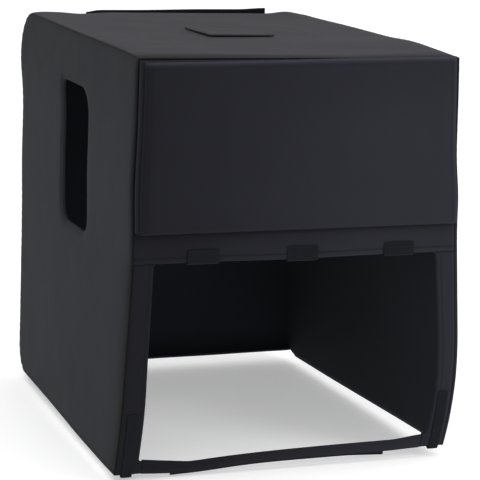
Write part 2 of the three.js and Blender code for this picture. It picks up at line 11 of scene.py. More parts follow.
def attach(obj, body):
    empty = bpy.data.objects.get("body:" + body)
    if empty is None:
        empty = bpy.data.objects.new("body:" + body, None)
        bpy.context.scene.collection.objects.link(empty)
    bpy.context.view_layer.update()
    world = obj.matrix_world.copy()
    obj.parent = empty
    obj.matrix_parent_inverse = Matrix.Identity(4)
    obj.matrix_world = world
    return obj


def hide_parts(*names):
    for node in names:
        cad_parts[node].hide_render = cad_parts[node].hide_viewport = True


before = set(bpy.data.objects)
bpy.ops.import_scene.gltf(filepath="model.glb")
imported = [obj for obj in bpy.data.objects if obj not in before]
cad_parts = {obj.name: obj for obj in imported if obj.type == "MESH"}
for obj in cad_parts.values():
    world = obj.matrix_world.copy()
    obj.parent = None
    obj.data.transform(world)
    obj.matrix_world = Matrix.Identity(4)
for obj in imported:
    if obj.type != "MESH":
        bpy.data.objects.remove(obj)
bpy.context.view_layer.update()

# A padded cloth cover for a large loudspeaker cabinet, hollow and open below.
# Sizes are in millimetres, with heights above the hem. to_row() turns them into the row frame's metres.

CABINET_TOP_Z = 617.0

# Body. A seam's swells are (height, length, size), the top's (x, y, length across, length along, size).
BODY_DEPTH = 636.0
FRONT_Y = -BODY_DEPTH / 2
REAR_Y = BODY_DEPTH / 2
HEM_Z = 2.0
TOP_SEAM_Z = 625.5
TOP_SEAM_TILT = 1.0
TOP_SEAM_DIP = 2.0
TOP_SEAM_DIP_LENGTH = 45.0
LEFT_SEAM = Values(
    top_half=258.2, rear_half=253.5, flare=13.5, flare_top=400.0, flare_low=0.0, hem_drop=3.6,
    front_swells=[(440, 60, 2.3), (325, 35, -0.9)],
    rear_swells=[(556, 58, 7), (400, 85, 2)])
RIGHT_SEAM = Values(
    top_half=245.5, rear_half=248.0, flare=27.0, flare_top=620.0, flare_low=120.0, hem_drop=-3.0,
    front_swells=[(560, 85, 3), (412, 42, 3), (165, 60, 1.8)],
    rear_swells=[])
REAR_FLARE = 2.0
BODY_HALF_WIDTH = 251.0
HEM_DROP_HEIGHT = 70.0
HEM_DROP_REAR_Y = 180.0
HEM_DROP_FADE = 400.0
TOP_SWELLS = [
    (251, -165, 160, 65, 2.9),
    (251, 300, 60, 150, -2.6),
    (212, 300, 24, 80, 5),
    (-165, 300, 30, 80, -2.6),
]
SETBACK_DEPTH = 27.0
SETBACK_TOP_Z = 130.0
SETBACK_POWER = 1.8
DROP_START_Z = 598.0
REAR_BEND_MIDDLE = 28.0
REAR_BEND_SEAM = 42.0
REAR_HEM_BEND = 46.0
REAR_HEM_ANGLE = 60.0
WALL_LOW_Z = HEM_Z + REAR_HEM_BEND
WALL_TOP_Z = TOP_SEAM_Z - REAR_BEND_SEAM

# Cloth
FOAM = 4.0
PAD_RISE = 3.5
TOP_PAD_RISE = 2.2
TOP_SAG = 1.4
FRONT_PAD_RISE = 2.0
ROLL = 5.0
TOP_FRONT_ROLL = 14.0
SOFT_ROLL = Values(length=20.0, top=400.0, fade=150.0)
SIDE_BULGE = 1.5
SEAM_GAP = 0.25
CLEARANCE = 0.5

# Front frame and its opening
HEADER_Z = 324.5
HEADER_SAG = Values(height=1.6, x=-5.0, length=75.0, reach=40.0)
OPENING_HALF_TOP = 226.5
OPENING_BOTTOM_Z = {-1: 22.0, 1: 27.0}
OPENING_SLANT = {-1: 8.5, 1: 10.2}
OPENING_BOW = {-1: 0.5, 1: 8.5}
OPENING_BOW_POWER = 1.25
OPENING_TOP_RADIUS = 6.0
OPENING_BOTTOM_RADIUS = {-1: 5.0, 1: 8.0}
STRIP = Values(
    top=22.3, dip=10.0, dip_x=-151.0, dip_left=77.0, dip_right=105.0, dip_rounding=8.0,
    rise=5.6, rise_x=175.0, low=2.5, low_dip=8.5, low_dip_x=-165.0, low_dip_length=90.0,
    low_rise=1.8, low_rise_x=170.0, rise_length=60.0, flat_height=20.0, folds_height=12.0)
POST_TOP_GAP = 0.4
POST_FLAT_WIDTH = 28.0

# Front flap, folded double
FLAP_THICKNESS = 5.5
FLAP_GAP = 1.4
FLAP_FOLD_Z = 370.0
FLAP_INNER_TOP_Z = 622.0
FLAP_OUTER_TOP_Z = 620.5
FLAP_OUTER_TOP_RISE = 5.5
FLAP_OUTER_INSET = 6.0
FLAP_RIGHT_INSET_TOP = 11.0
FLAP_RIGHT_INSET_LOW = 7.6
FLAP_CROWN = 2.5
FLAP_OUTSIDE_FROM = 1.6
FLAP_OUTSIDE_FADE = 0.5
FLAP_ROLL = Values(top=2.2, top_length=3.5, left=1.5, left_length=5.0)

# Handle slots in the two sides
SLOT_FRONT_Y = FRONT_Y + 236
SLOT_REAR_Y = FRONT_Y + 373
SLOT_LOW_Z = 323.0
SLOT_TOP_Z = 547.0
SLOT_RADII = Values(front_top=38.0, rear_top=10.0, rear_low=30.0, front_low=22.0)
SLOT_PAD_SHARE = 0.1
SLOT_ROLL = 5.5
SLOT_EDGE_THICKNESS = 2.4
SLOT_THINNING = 6.0

# Tape pieces
TAPE = 1.3
TAB_WIDTH = 49.0
TAB_PITCH = 157.0
TAB_MIDDLE_X = 5.3
TAB_TOP_Z = 344.0
TAB_BACK_Z = 340.0
TAB_HANG = 3.1
TAB_CORNER = 3.0
TAB_FLATTENING = 0.7
WRAP_LIFT = 0.3
STRAP_WIDTH = 16.0
STRAP_X = 252.5
STRAP_TOP_Z = {-1: 100.0, 1: 103.0}
STRAP_BACK_Z = 20.0
STRAP_HANG = 4.1
WRAP_CLEARANCE = 0.65
WRAP_RADIUS = (FOAM + FRONT_PAD_RISE) / 2 + WRAP_CLEARANCE + TAPE
WRAP_MIDDLE = (FOAM - FRONT_PAD_RISE) / 2
HOOK_CLEARANCE = 0.8
HOOK_STRIP = Values(
    left=-180.0, right=171.0, below_top=9.0, below_strip=3.4, right_drop=2.5, right_drop_x=100.0,
    tip_drop=1.0, tip_length=12.0, flat_length=346.0, flat_height=12.0)

# Flaps on the top and the back
POLE_FLAP = Values(
    x=-12.0, half=54.0, near=FRONT_Y + 238, depth=120.0, thickness=2.6, lift=1.6, lift_left=0.6)
REAR_FLAP = Values(
    left=-146.0, right=184.0, low=216.0, top=628.0, right_rise=1.6, rise_x=-60.0, rise_length=130.0,
    tip_rise=2.2, tip_length=54.0, corner_drop=3.4, corner_length=14.0, crown=1.2, thickness=4.5)

# Sewing. The right side's cloth laps round onto the front, up to a sewn line.
STITCH_LENGTH = 3.4
STITCH_PITCH = 4.4
STITCH_RADIUS = 0.32
TAPE_STITCH_RADIUS = 0.25
HEM_WIDTH = 9.0
POST_HEM = 7.0
STRIP_HEM = 4.0
POLE_FLAP_HEM = 4.0
POLE_GROOVE = Values(width=1.0, depth=0.35)
SEWN_SHARE = 0.985
SLOT_HEM = 5.5
TAPE_HEM = 1.8
TAPE_GROOVE = Values(width=0.8, depth=0.3)
GROOVE_WIDTH = 1.3
GROOVE_DEPTH = 0.55
PUCKER_LENGTH = 15.0
RIM_ROUND = 0.46
LAP = Values(width=5.4, depth=0.9, line=1.0, fade=50.0)
REAR_LAP = 0.55
SHARP_ANGLE = 60.0
WAVE_HEIGHT = 0.8
WAVE_LENGTHS = (88.0, 105.0)
TOP_WAVE_PHASE = 0.7

# Meshes
GRID = 6.0
NORMAL_STEP = 1e-3
SLOT_OFFSETS = (0, 0.35, 0.9, 1.7, 2.7, 3.9, 4.8, 5.5, 6.2, 7.4, 9.5, 12.5, 16, 20)

# Folds, as lines with a width and a height
TOP_CREASES = [
    (-100, -2, -72, -60, 5, -0.8),
    (-230, -290, 60, -296, 7, 0.9),
    (40, -200, 190, -255, 14, -0.7),
]
FLAP_CREASES = [
    (-120, 600, -128, 400, 12, 0.7),
    (-40, 590, -60, 470, 16, -0.8),
    (70, 560, 52, 400, 14, 0.8),
    (150, 600, 158, 440, 18, -0.7),
    (215, 610, 222, 390, 10, 0.6),
]

# Unevenness of each face, as waves of (height, size, seed)
UNEVEN = {
    "left_side": [(0.5, 90, 10), (0.22, 34, 20)],
    "right_side": [(0.5, 90, 12), (0.22, 34, 22)],
    "top": [(0.5, 80, 61), (0.22, 32, 62)],
    "back": [(0.6, 95, 81), (0.25, 36, 82)],
    "header": [(0.45, 46, 101)],
    "strip": [(0.35, 22, 121)],
    "flap": [(0.5, 85, 131), (0.25, 30, 132)],
    "tape": [(0.18, 9, 141)],
    "hook_strip": [(0.15, 11, 151)],
    "pole_flap": [(0.25, 26, 161)],
    "rear_flap": [(0.5, 80, 171), (0.2, 28, 172)],
}

# Gathers beside seams, as (depth, reach, seed)
PUCKERS = {
    "side_top": (0.3, 8, 31),
    "side_front": (0.22, 7, 41),
    "side_rear": (0.3, 8, 51),
    "top_side": (0.3, 8, 71),
    "back_side": (0.3, 8, 91),
    "back_top": (0.3, 8, 92),
    "post_left": (0.25, 6, 110),
    "post_right": (0.25, 6, 112),
}

# Colours, and groups of painted light and shade that darken or lighten them: painted shade in seams, folds
# and gaps, painted highlights beside edges, and whole faces darker or lighter as the light falls on them.
# The tape's group darkens the tape and lightens its rims.
SIDE_COLOUR = (0.0139, 0.0153, 0.0201)
# Painted light: the top is the same cloth as the sides, its colour painted lighter as lit from above.
TOP_LIT_COLOUR = (0.0300, 0.0295, 0.0362)
FRONT_COLOUR = (0.0134, 0.0137, 0.0186)
TAPE_COLOUR = (0.0080, 0.0092, 0.0122)
THREAD_COLOUR = (0.0125, 0.0130, 0.0145)
# Painted shade on the sides: darker over the face, beside the front and top seams, in the low front roll
# and towards the top.
SIDE_PAINTED_SHADE = Values(
    face=0.89, seam=0.92, seam_low=0.75, seam_length={-1: 6.0, 1: 9.0}, top=0.5, top_length=3.0,
    low_z=345.0, low_fade=30.0, soft=0.68, soft_length=18.0, upper=0.14, upper_z=470.0, upper_fade=110.0)
# Painted light on the top: shade at the side seams and the front roll, highlights beside the side seams and
# on a ridge.
TOP_PAINTED_LIGHT = Values(
    side=0.5, side_length=2.5, border=0.1, border_from=7.0, border_length=4.0, front=0.92,
    front_length=22.0, ridge=0.12, ridge_from=48.0, ridge_length=12.0)
# Painted light across the front: darker at the left, lighter at the right.
FRONT_PAINTED_LIGHT = Values(left=0.62, right=1.15, start_x=-255.0, width=430.0)
# Painted light at the lapped seam: shade in its line and on the turned cloth, a highlight beside it.
LAP_PAINTED_LIGHT = Values(line=0.75, light=0.3, light_from=2.4, light_length=1.3, turned=0.12)
# Painted light on the header: lighter over its face, a painted shadow under the fold, painted shade at the
# hem's stitches.
HEADER_PAINTED_LIGHT = Values(face=1.06, under_fold=0.6, under_fold_length=7.0, hem=0.35, hem_length=1.5)
# Painted shade on the posts: beside the left post's seam and at the hem's stitches.
POST_PAINTED_SHADE = Values(seam=0.6, seam_length=2.2, hem=0.3, hem_length=1.0)
# Painted light on the front flap: gradient, shade by the left edge, under the fold and in the gap,
# highlights on edges.
FLAP_PAINTED_LIGHT = Values(
    left=0.72, right=1.06, low=0.2, band=0.28, band_length=14.0, behind=0.5, behind_to=1.75,
    top=1.5, top_from=1.0, top_length=3.6, right_edge=0.5, right_from=1.5, right_length=3.0,
    left_edge=0.35, left_length=1.5, gap=0.2, gap_light=1.3, gap_x=-120.0, gap_fade=60.0, gap_length=4.0)
TAPE_TONE = Values(face=0.8, rim=0.35, rim_length=0.8)
# Painted shade on the rear flap's lining, which faces the body and shows above the top.
REAR_FLAP_LINING_PAINTED_SHADE = 0.3

# Camera and studio
CAMERA = {"yaw": 21.102, "pitch": 11.798, "roll": 2.171, "place": (-1158.2, -3074.0, 972.8),
          "focal_pixels": 2054.7, "frame_pixels": 480}
WORLD_STRENGTH = 0.8
LIGHTS = [
    ("key_light", (-0.6, -0.6, 3.4), (3.0, 3.0), 40),
    ("right_light", (1.1, -1.3, 0.3), (0.6, 0.6), 8),
]
FLOOR_Z = -0.6285
FLOOR_SIZE = 90.0
FLOOR_COLOUR = (0.9, 0.9, 0.9)
FLOOR_GLOW = 0.35


# Numbers

def smooth(t):
    t = np.clip(t, 0, 1)
    return t * t * (3 - 2 * t)


def lerp(a, b, t):
    return a + (b - a) * t


def fall(distance, length):
    return np.exp(-((distance / length) ** 2))


def rise(distance, length=ROLL):
    """Padding rises away from a seam."""
    return 1 - np.exp(-np.maximum(0, distance) / length)


def nose(distance, radius):
    """How far a face drops towards a free edge that is rounded with a radius."""
    inside = np.clip(radius - distance, 0, radius)
    return radius - np.sqrt(radius ** 2 - inside ** 2)


def noise(a, b, size, seed):
    """Smooth unevenness from -1 to 1, with features of a size in millimetres."""
    cells = 64
    lattice = np.random.default_rng(seed).uniform(-1, 1, (cells, cells))
    x, y = np.asarray(a) / size + 1000, np.asarray(b) / size + 1000
    i, j = np.floor(x).astype(int), np.floor(y).astype(int)
    fx, fy = (f ** 3 * (f * (f * 6 - 15) + 10) for f in (x - i, y - j))
    corner = lambda di, dj: lattice[(i + di) % cells, (j + dj) % cells]
    low = lerp(corner(0, 0), corner(1, 0), fx)
    high = lerp(corner(0, 1), corner(1, 1), fx)
    return lerp(low, high, fy)


def uneven(kind, u, v):
    """Unevenness of a face of some kind, at its own coordinates."""
    return sum(height * noise(u, v, size, seed) for height, size, seed in UNEVEN[kind])


def stations(low, high, coarse, *zones):
    """Places from low to high in coarse steps, with finer steps in zones of (from, to, step)."""
    places = np.linspace(low, high, max(2, round((high - low) / coarse) + 1))
    for start, end, step in zones:
        inner = np.linspace(start, end, max(2, round((end - start) / step) + 1))
        places = np.concatenate([places[(places < start - step / 2) | (places > end + step / 2)], inner])
    return np.unique(np.clip(places, low, high).round(4))


def edge_zones(low, high, hemmed=False):
    """Fine steps for the rounding beside both ends of a length, and for the stitches where it is hemmed."""
    reach, step = (14, 0.9) if hemmed else (12, 1.5)
    near = [(low, low + 3, 0.5), (low + 3, low + reach, step)]
    far = [(high - 3, high, 0.5), (high - reach, high - 3, step)]
    return near + far


def across_body(hemmed=False):
    """Places from -1 to 1 across the body, finer beside its seams."""
    half = BODY_HALF_WIDTH
    return stations(-half, half, GRID, *edge_zones(-half, half, hemmed)) / half


def fine_ends(length, coarse, reach, fine):
    """Places from 0 to 1 along a length, finer beside both ends."""
    return stations(0, length, coarse, (0, reach, fine), (length - reach, length, fine)) / length


# Shape of the body

def seam_distance(side, y, z):
    """Distance of a side seam from the middle: the front leans over to the left and flares at the hem."""
    distances = []
    for seam in (LEFT_SEAM, RIGHT_SEAM):
        flare = seam.flare * smooth((seam.flare_top - z) / (seam.flare_top - seam.flare_low))
        front = seam.top_half + flare + swell(seam.front_swells, z)
        rear = seam.rear_half + REAR_FLARE * smooth(1 - z / TOP_SEAM_Z) + swell(seam.rear_swells, z)
        distances.append(lerp(front, rear, (y - FRONT_Y) / BODY_DEPTH))
    return np.where(np.asarray(side) < 0, *distances)


def swell(places, z):
    """How far a seam swells out at a height."""
    return sum(height * fall(z - middle, length) for middle, length, height in places)


def hung_z(side, y, height):
    """The hem hangs lower at the front of the left side and higher at the front of the right side."""
    drop = (LEFT_SEAM if side < 0 else RIGHT_SEAM).hem_drop * smooth((HEM_DROP_REAR_Y - y) / HEM_DROP_FADE)
    return height - drop * smooth(1 - height / HEM_DROP_HEIGHT)


def setback(z):
    """The front curves back towards the hem."""
    return SETBACK_DEPTH * np.maximum(0, (SETBACK_TOP_Z - z) / SETBACK_TOP_Z) ** SETBACK_POWER


def top_drop(x, y):
    """How far the top lies below its level."""
    swells = sum(height * fall(x - x0, length_x) * fall(y - y0, length_y)
                 for x0, y0, length_x, length_y, height in TOP_SWELLS)
    dip = TOP_SEAM_DIP * fall(y - FRONT_Y, TOP_SEAM_DIP_LENGTH)
    return dip + TOP_SEAM_TILT * x / BODY_HALF_WIDTH - swells


def top_seam_z(x, y):
    return TOP_SEAM_Z - top_drop(x, y)


def at_top(height):
    """0 to 1 over the heights that follow the top's drop."""
    return smooth((height - DROP_START_Z) / (TOP_SEAM_Z - DROP_START_Z))


def rear_bend(part):
    """Radius of the bend from the top to the back, wider at the side seams."""
    return lerp(REAR_BEND_MIDDLE, REAR_BEND_SEAM, np.abs(part) ** 3)


def opening_half_width(side, z):
    """Distance from the middle to the opening's edge."""
    bottom = OPENING_BOTTOM_Z[side]
    part = np.clip((HEADER_Z - z) / (HEADER_Z - bottom), 0, 1)
    bow = OPENING_BOW[side] * np.sin(math.pi * part ** OPENING_BOW_POWER)
    corners = nose(HEADER_Z - z, OPENING_TOP_RADIUS) + nose(z - bottom, OPENING_BOTTOM_RADIUS[side])
    return OPENING_HALF_TOP + OPENING_SLANT[side] * part + bow - corners


def header_sag(x):
    """How far the header's lower edge sags."""
    return HEADER_SAG.height * fall(x - HEADER_SAG.x, HEADER_SAG.length)


def strip_top(x):
    """The strip sags towards its left end and rises into the corner at its right end."""
    distance = np.hypot(x - STRIP.dip_x, STRIP.dip_rounding) - STRIP.dip_rounding
    dip = np.where(x < STRIP.dip_x, np.maximum(0, 1 - distance / STRIP.dip_left),
                   np.exp(-distance / STRIP.dip_right))
    return STRIP.top - STRIP.dip * dip + STRIP.rise * smooth((x - STRIP.rise_x) / STRIP.rise_length)


def strip_low(x):
    """The strip's lower edge dips at its left."""
    dip = STRIP.low_dip * fall(x - STRIP.low_dip_x, STRIP.low_dip_length)
    return STRIP.low - dip + STRIP.low_rise * smooth((x - STRIP.low_rise_x) / STRIP.rise_length)


# Cloth as a surface with two faces

class Cloth:
    """Cloth behind a sewn surface. place(a, b, inset) gives the surface, its mitred edges drawn in by
    inset, relief(a, b, points) how far the face stands out, edge(a, b, points) the distance to a free edge,
    and the function after edge a factor on the face's colour that paints light and shade, darker in its
    seams and folds."""

    def __init__(self, place, relief, reference, limits, thickness=FOAM, edge=None, painted_light_and_tone=None,
                 lining_painted_shade=1.0):
        self.place = place
        self.relief = relief
        self.thickness = thickness
        self.limits = limits
        self.edge = edge
        self.painted_light_and_tone = painted_light_and_tone
        self.lining_painted_shade = lining_painted_shade
        self.sign = 1.0
        middle = [np.array([(low + high) / 2]) for low, high in limits]
        if self.normals(*middle, SEAM_GAP)[0] @ np.array(reference) < 0:
            self.sign = -1.0

    def normals(self, a, b, inset):
        (a0, a1), (b0, b1) = self.limits
        step_a, step_b = (a1 - a0) * NORMAL_STEP, (b1 - b0) * NORMAL_STEP
        next_a, last_a = np.minimum(a + step_a, a1), np.maximum(a - step_a, a0)
        next_b, last_b = np.minimum(b + step_b, b1), np.maximum(b - step_b, b0)
        along = self.place(next_a, b, inset) - self.place(last_a, b, inset)
        up = self.place(a, next_b, inset) - self.place(a, last_b, inset)
        normal = np.cross(along, up)
        return self.sign * normal / np.maximum(np.linalg.norm(normal, axis=-1, keepdims=True), 1e-12)

    def layer(self, a, b, points):
        if callable(self.thickness):
            return self.thickness(a, b, points)
        return np.full(np.shape(a), self.thickness)

    def rounding(self, a, b, points):
        if self.edge is None:
            return 0.0
        return nose(self.edge(a, b, points), RIM_ROUND * self.layer(a, b, points))

    def painted_lights_and_tones(self, a, b):
        """Colour factors of both faces, mostly painted light and shade, the lining's as one factor."""
        face = np.ones(np.shape(a))
        if self.painted_light_and_tone is not None:
            face = face * self.painted_light_and_tone(a, b, self.place(a, b, SEAM_GAP))
        return np.concatenate([face, np.full(np.shape(a), self.lining_painted_shade)])

    def outer(self, a, b):
        points = self.place(a, b, SEAM_GAP)
        normals = self.normals(a, b, SEAM_GAP)
        height = self.relief(a, b, points) - self.rounding(a, b, points)
        return points + normals * np.asarray(height)[..., None], normals

    def inner(self, a, b):
        points = self.place(a, b, SEAM_GAP)
        mitre = np.max(self.layer(a, b, points))
        depth = self.layer(a, b, points) - self.rounding(a, b, points)
        drawn_in = self.place(a, b, SEAM_GAP + mitre)
        return drawn_in - self.normals(a, b, SEAM_GAP + mitre) * np.asarray(depth)[..., None]


def to_row(points):
    return (np.asarray(points, float) - np.array([0.0, 0.0, CABINET_TOP_Z])) / 1000


def add_mesh(name, points, faces, flat, material, painted_lights_and_tones=None):
    """Smooth closed mesh with a UV map of the flat cloth in metres and, at each corner, a colour factor
    that is mostly painted light and shade.
    """
    mesh = bpy.data.meshes.new(name)
    mesh.from_pydata(to_row(points).tolist(), [], faces)
    work = bmesh.new()
    work.from_mesh(mesh)
    bmesh.ops.recalc_face_normals(work, faces=work.faces)
    work.to_mesh(mesh)
    work.free()
    layer = mesh.uv_layers.new(name="flat")
    corners = np.zeros(len(mesh.loops), int)
    mesh.loops.foreach_get("vertex_index", corners)
    layer.data.foreach_set("uv", (np.asarray(flat, float)[corners] / 1000).ravel())
    painted_light_and_tone = mesh.attributes.new("painted_light_and_tone", "FLOAT", "POINT")
    painted_light_and_tone.data.foreach_set("value", np.ones(len(points)) if painted_lights_and_tones is None else painted_lights_and_tones)
    mesh.shade_smooth()
    mesh.set_sharp_from_angle(angle=math.radians(SHARP_ANGLE))
    mesh.materials.append(material)
    piece = bpy.data.objects.new(name, mesh)
    bpy.context.scene.collection.objects.link(piece)
    return piece


def shell(name, cloth, a, b, faces, loops, flat, slot):
    """Closed mesh of a cloth: its outer and inner faces, joined along the loops of its edges. It takes the
    place of the solid of the same name."""
    outer, _ = cloth.outer(a, b)
    inner = cloth.inner(a, b)
    count = len(a)
    closed = list(faces) + [tuple(count + v for v in reversed(face)) for face in faces]
    for loop in loops:
        for v, w in zip(loop, np.roll(loop, -1)):
            closed.append((int(v), int(count + v), int(count + w), int(w)))
    piece = add_mesh(name, np.concatenate([outer, inner]), closed, np.concatenate([flat, flat]),
                     MATERIALS[slot], cloth.painted_lights_and_tones(a, b))
    return dress(piece, name)


def grid_faces(columns, rows):
    at = lambda i, j: i * rows + j
    return [(at(i, j), at(i + 1, j), at(i + 1, j + 1), at(i, j + 1))
            for i in range(columns - 1) for j in range(rows - 1)]


def grid_loop(columns, rows):
    """Indices round a grid's edge."""
    corners = [(i, 0) for i in range(columns - 1)] + [(columns - 1, j) for j in range(rows - 1)]
    corners += [(i, rows - 1) for i in range(columns - 1, 0, -1)] + [(0, j) for j in range(rows - 1, 0, -1)]
    return np.array([i * rows + j for i, j in corners])


def grid_piece(name, cloth, columns, rows, unit, slot):
    """Shell over a grid. unit is the flat length of one unit of each coordinate."""
    a, b = (g.ravel() for g in np.meshgrid(columns, rows, indexing="ij"))
    size = len(columns), len(rows)
    flat = np.stack([a, b], -1) * unit
    return shell(name, cloth, a, b, grid_faces(*size), [grid_loop(*size)], flat, slot)


def pucker(kind, along, distance):
    """Small gathers of the cloth beside a seam."""
    depth, reach, seed = PUCKERS[kind]
    phase = 2.2 * noise(along, distance * 0, 37, seed) + along * 2 * math.pi / PUCKER_LENGTH
    strength = 0.55 + 0.45 * noise(along, distance * 0 + 50, 60, seed + 7)
    return depth * strength * np.sin(phase) * fall(distance - 4, reach)


def wave(u, v, phase):
    """Slow waves of the padding."""
    return WAVE_HEIGHT * np.sin(u / WAVE_LENGTHS[0] + phase) * np.sin(v / WAVE_LENGTHS[1] + 2 * phase)


def groove(distance):
    """Line of stitches pulled into the padding."""
    return -GROOVE_DEPTH * fall(distance, GROOVE_WIDTH)


def creases(u, v, lines):
    """Soft troughs and ridges along lines of (u0, v0, u1, v1, width, height), highest in their middle."""
    total = 0.0
    for u0, v0, u1, v1, width, height in lines:
        length = math.hypot(u1 - u0, v1 - v0)
        along = ((u - u0) * (u1 - u0) + (v - v0) * (v1 - v0)) / length ** 2
        across = ((u - u0) * (v1 - v0) - (v - v0) * (u1 - u0)) / length
        share = np.sin(math.pi * np.clip(along, 0, 1)) ** 2
        total = total + height * share * fall(across, width)
    return total


def across_front(x):
    """0 to 1 from the front's left to its right."""
    return smooth((x - FRONT_PAINTED_LIGHT.start_x) / FRONT_PAINTED_LIGHT.width)


def front_painted_gradient(x):
    """Painted light: the front is darker towards its left and lighter towards its right, as the light
    falls.
    """
    return lerp(FRONT_PAINTED_LIGHT.left, FRONT_PAINTED_LIGHT.right, across_front(x))


def lapped_seam(share, from_seam):
    """Groove where the right side's cloth laps round onto the front, with painted shade in its sewn line
    and on the turned cloth and a painted highlight beside the line. share is 0 on the left.
    """
    line = fall(from_seam - LAP.width, LAP.line)
    light = LAP_PAINTED_LIGHT.light * fall(from_seam - LAP.width - LAP_PAINTED_LIGHT.light_from, LAP_PAINTED_LIGHT.light_length)
    turned = LAP_PAINTED_LIGHT.turned * (from_seam < LAP.width)
    return -LAP.depth * share * line, 1 + share * (light - LAP_PAINTED_LIGHT.line * line - turned)


# Sewing

def stitch_row(points, normals, pitch=STITCH_PITCH):
    """Middles, directions and normals of the stitches along a run of surface points."""
    lengths = np.concatenate([[0], np.cumsum(np.linalg.norm(np.diff(points, axis=0), axis=1))])
    count = max(1, int(lengths[-1] // pitch))
    middles = (np.arange(count) + 0.5) * lengths[-1] / count
    at = lambda s, values: np.stack([np.interp(s, lengths, values[:, k]) for k in range(3)], 1)
    start, end = (at(middles + way * STITCH_LENGTH / 2, points) for way in (-1, 1))
    return at(middles, points), end - start, at(middles, normals)


def thread(name, runs, radius=STITCH_RADIUS):
    """Stitches along runs of (points, normals): small spindles whose ends dip into the cloth."""
    rows = [stitch_row(points, normals) for points, normals in runs if len(points) > 1]
    middles, along, up = (np.concatenate(part) for part in zip(*rows))
    size = np.linalg.norm(along, axis=1, keepdims=True)
    along = along / np.maximum(size, 1e-9)
    side = np.cross(up, along)
    side /= np.maximum(np.linalg.norm(side, axis=1, keepdims=True), 1e-9)
    up = np.cross(along, side)
    sides = 6
    turns = np.arange(sides) * 2 * math.pi / sides
    rings = [(-0.5, 0.45, -0.35), (-0.3, 0.95, 0.3), (0.3, 0.95, 0.3), (0.5, 0.45, -0.35)]
    local = [(part, share * np.cos(turn), share * np.sin(turn) + lift)
             for part, share, lift in rings for turn in turns]
    points = np.concatenate([
        (middles + along * size * part + side * across * radius + up * height * radius)[:, None]
        for part, across, height in local], 1)
    per = len(local)
    corner = lambda r, k: r * sides + k % sides
    quads = [(corner(r, k), corner(r, k + 1), corner(r + 1, k + 1), corner(r + 1, k))
             for r in range(len(rings) - 1) for k in range(sides)]
    quads += [tuple(range(sides))[::-1], tuple(range(per - sides, per))]
    faces = [tuple(n * per + v for v in quad) for n in range(len(middles)) for quad in quads]
    flat = np.zeros((len(middles) * per, 2))
    piece = add_mesh(name, points.reshape(-1, 3), faces, flat, MATERIALS["thread"])
    return dress(piece, None)


def run(cloth, a, b):
    """Points and normals of a cloth's face along a line."""
    a, b = np.broadcast_arrays(np.asarray(a, float), np.asarray(b, float))
    return cloth.outer(a, b)


def runs_round(cloth, a0, t0, count):
    """Runs along the four edges of a rectangle, inside them by shares a0 and t0."""
    a, t = (lerp(start, 1 - start, np.linspace(0, 1, count)) for start in (a0, t0))
    return [run(cloth, a, t0), run(cloth, a, 1 - t0), run(cloth, a0, t), run(cloth, 1 - a0, t)]


def dress(piece, node):
    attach(piece, "root")
    if node:
        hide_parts(node)
    return piece


# Materials

class Nodes:
    """A material's nodes, with short ways to add to them."""

    def __init__(self, name, base, roughness, sheen):
        self.material = bpy.data.materials.new(name)
        self.material.use_nodes = True
        self.material.diffuse_color = (*base, 1)
        self.tree = self.material.node_tree
        self.shader = self.tree.nodes["Principled BSDF"]
        settings = {"Roughness": roughness, "Specular IOR Level": 0.1, "Sheen Weight": sheen,
                    "Sheen Roughness": 0.45}
        for key, value in settings.items():
            self.shader.inputs[key].default_value = value
        self.coordinates = self.add("ShaderNodeTexCoord")
        self.place = self.coordinates.outputs["Object"]
        self.base = base

    def add(self, kind, **values):
        node = self.tree.nodes.new(kind)
        for key, value in values.items():
            setattr(node, key, value)
        return node

    def feed(self, target, value):
        if isinstance(value, bpy.types.NodeSocket):
            self.tree.links.new(value, target)
        else:
            target.default_value = value

    def math(self, operation, *values):
        node = self.add("ShaderNodeMath", operation=operation)
        for socket, value in zip(node.inputs, values):
            self.feed(socket, value)
        return node.outputs[0]

    def noise(self, scale, detail=2.0, roughness=0.5):
        node = self.add("ShaderNodeTexNoise")
        self.feed(node.inputs["Vector"], self.place)
        for key, value in (("Scale", scale), ("Detail", detail), ("Roughness", roughness)):
            node.inputs[key].default_value = value
        return node.outputs["Fac"]

    def around_one(self, value, spread):
        """Turns a value from 0 to 1 into a factor around 1."""
        return self.math("MULTIPLY_ADD", value, 2 * spread, 1 - spread)

    def tint(self, *factors):
        """Base colour times the corners' factor of painted light and shade and factors that vary over the
        surface.
        """
        painted_light_and_tone = self.add("ShaderNodeAttribute", attribute_name="painted_light_and_tone").outputs["Fac"]
        for factor in factors:
            painted_light_and_tone = self.math("MULTIPLY", painted_light_and_tone, factor)
        node = self.add("ShaderNodeMix", data_type="RGBA", blend_type="MULTIPLY")
        node.inputs["Factor"].default_value = 1
        node.inputs[6].default_value = (*self.base, 1)
        combine = self.add("ShaderNodeCombineColor")
        for socket in combine.inputs:
            self.feed(socket, painted_light_and_tone)
        self.feed(node.inputs[7], combine.outputs[0])
        self.feed(self.shader.inputs["Base Color"], node.outputs[2])

    def bump(self, height, distance, strength=0.5):
        node = self.add("ShaderNodeBump")
        node.inputs["Strength"].default_value = strength
        node.inputs["Distance"].default_value = distance / 1000
        self.feed(node.inputs["Height"], height)
        self.feed(self.shader.inputs["Normal"], node.outputs[0])


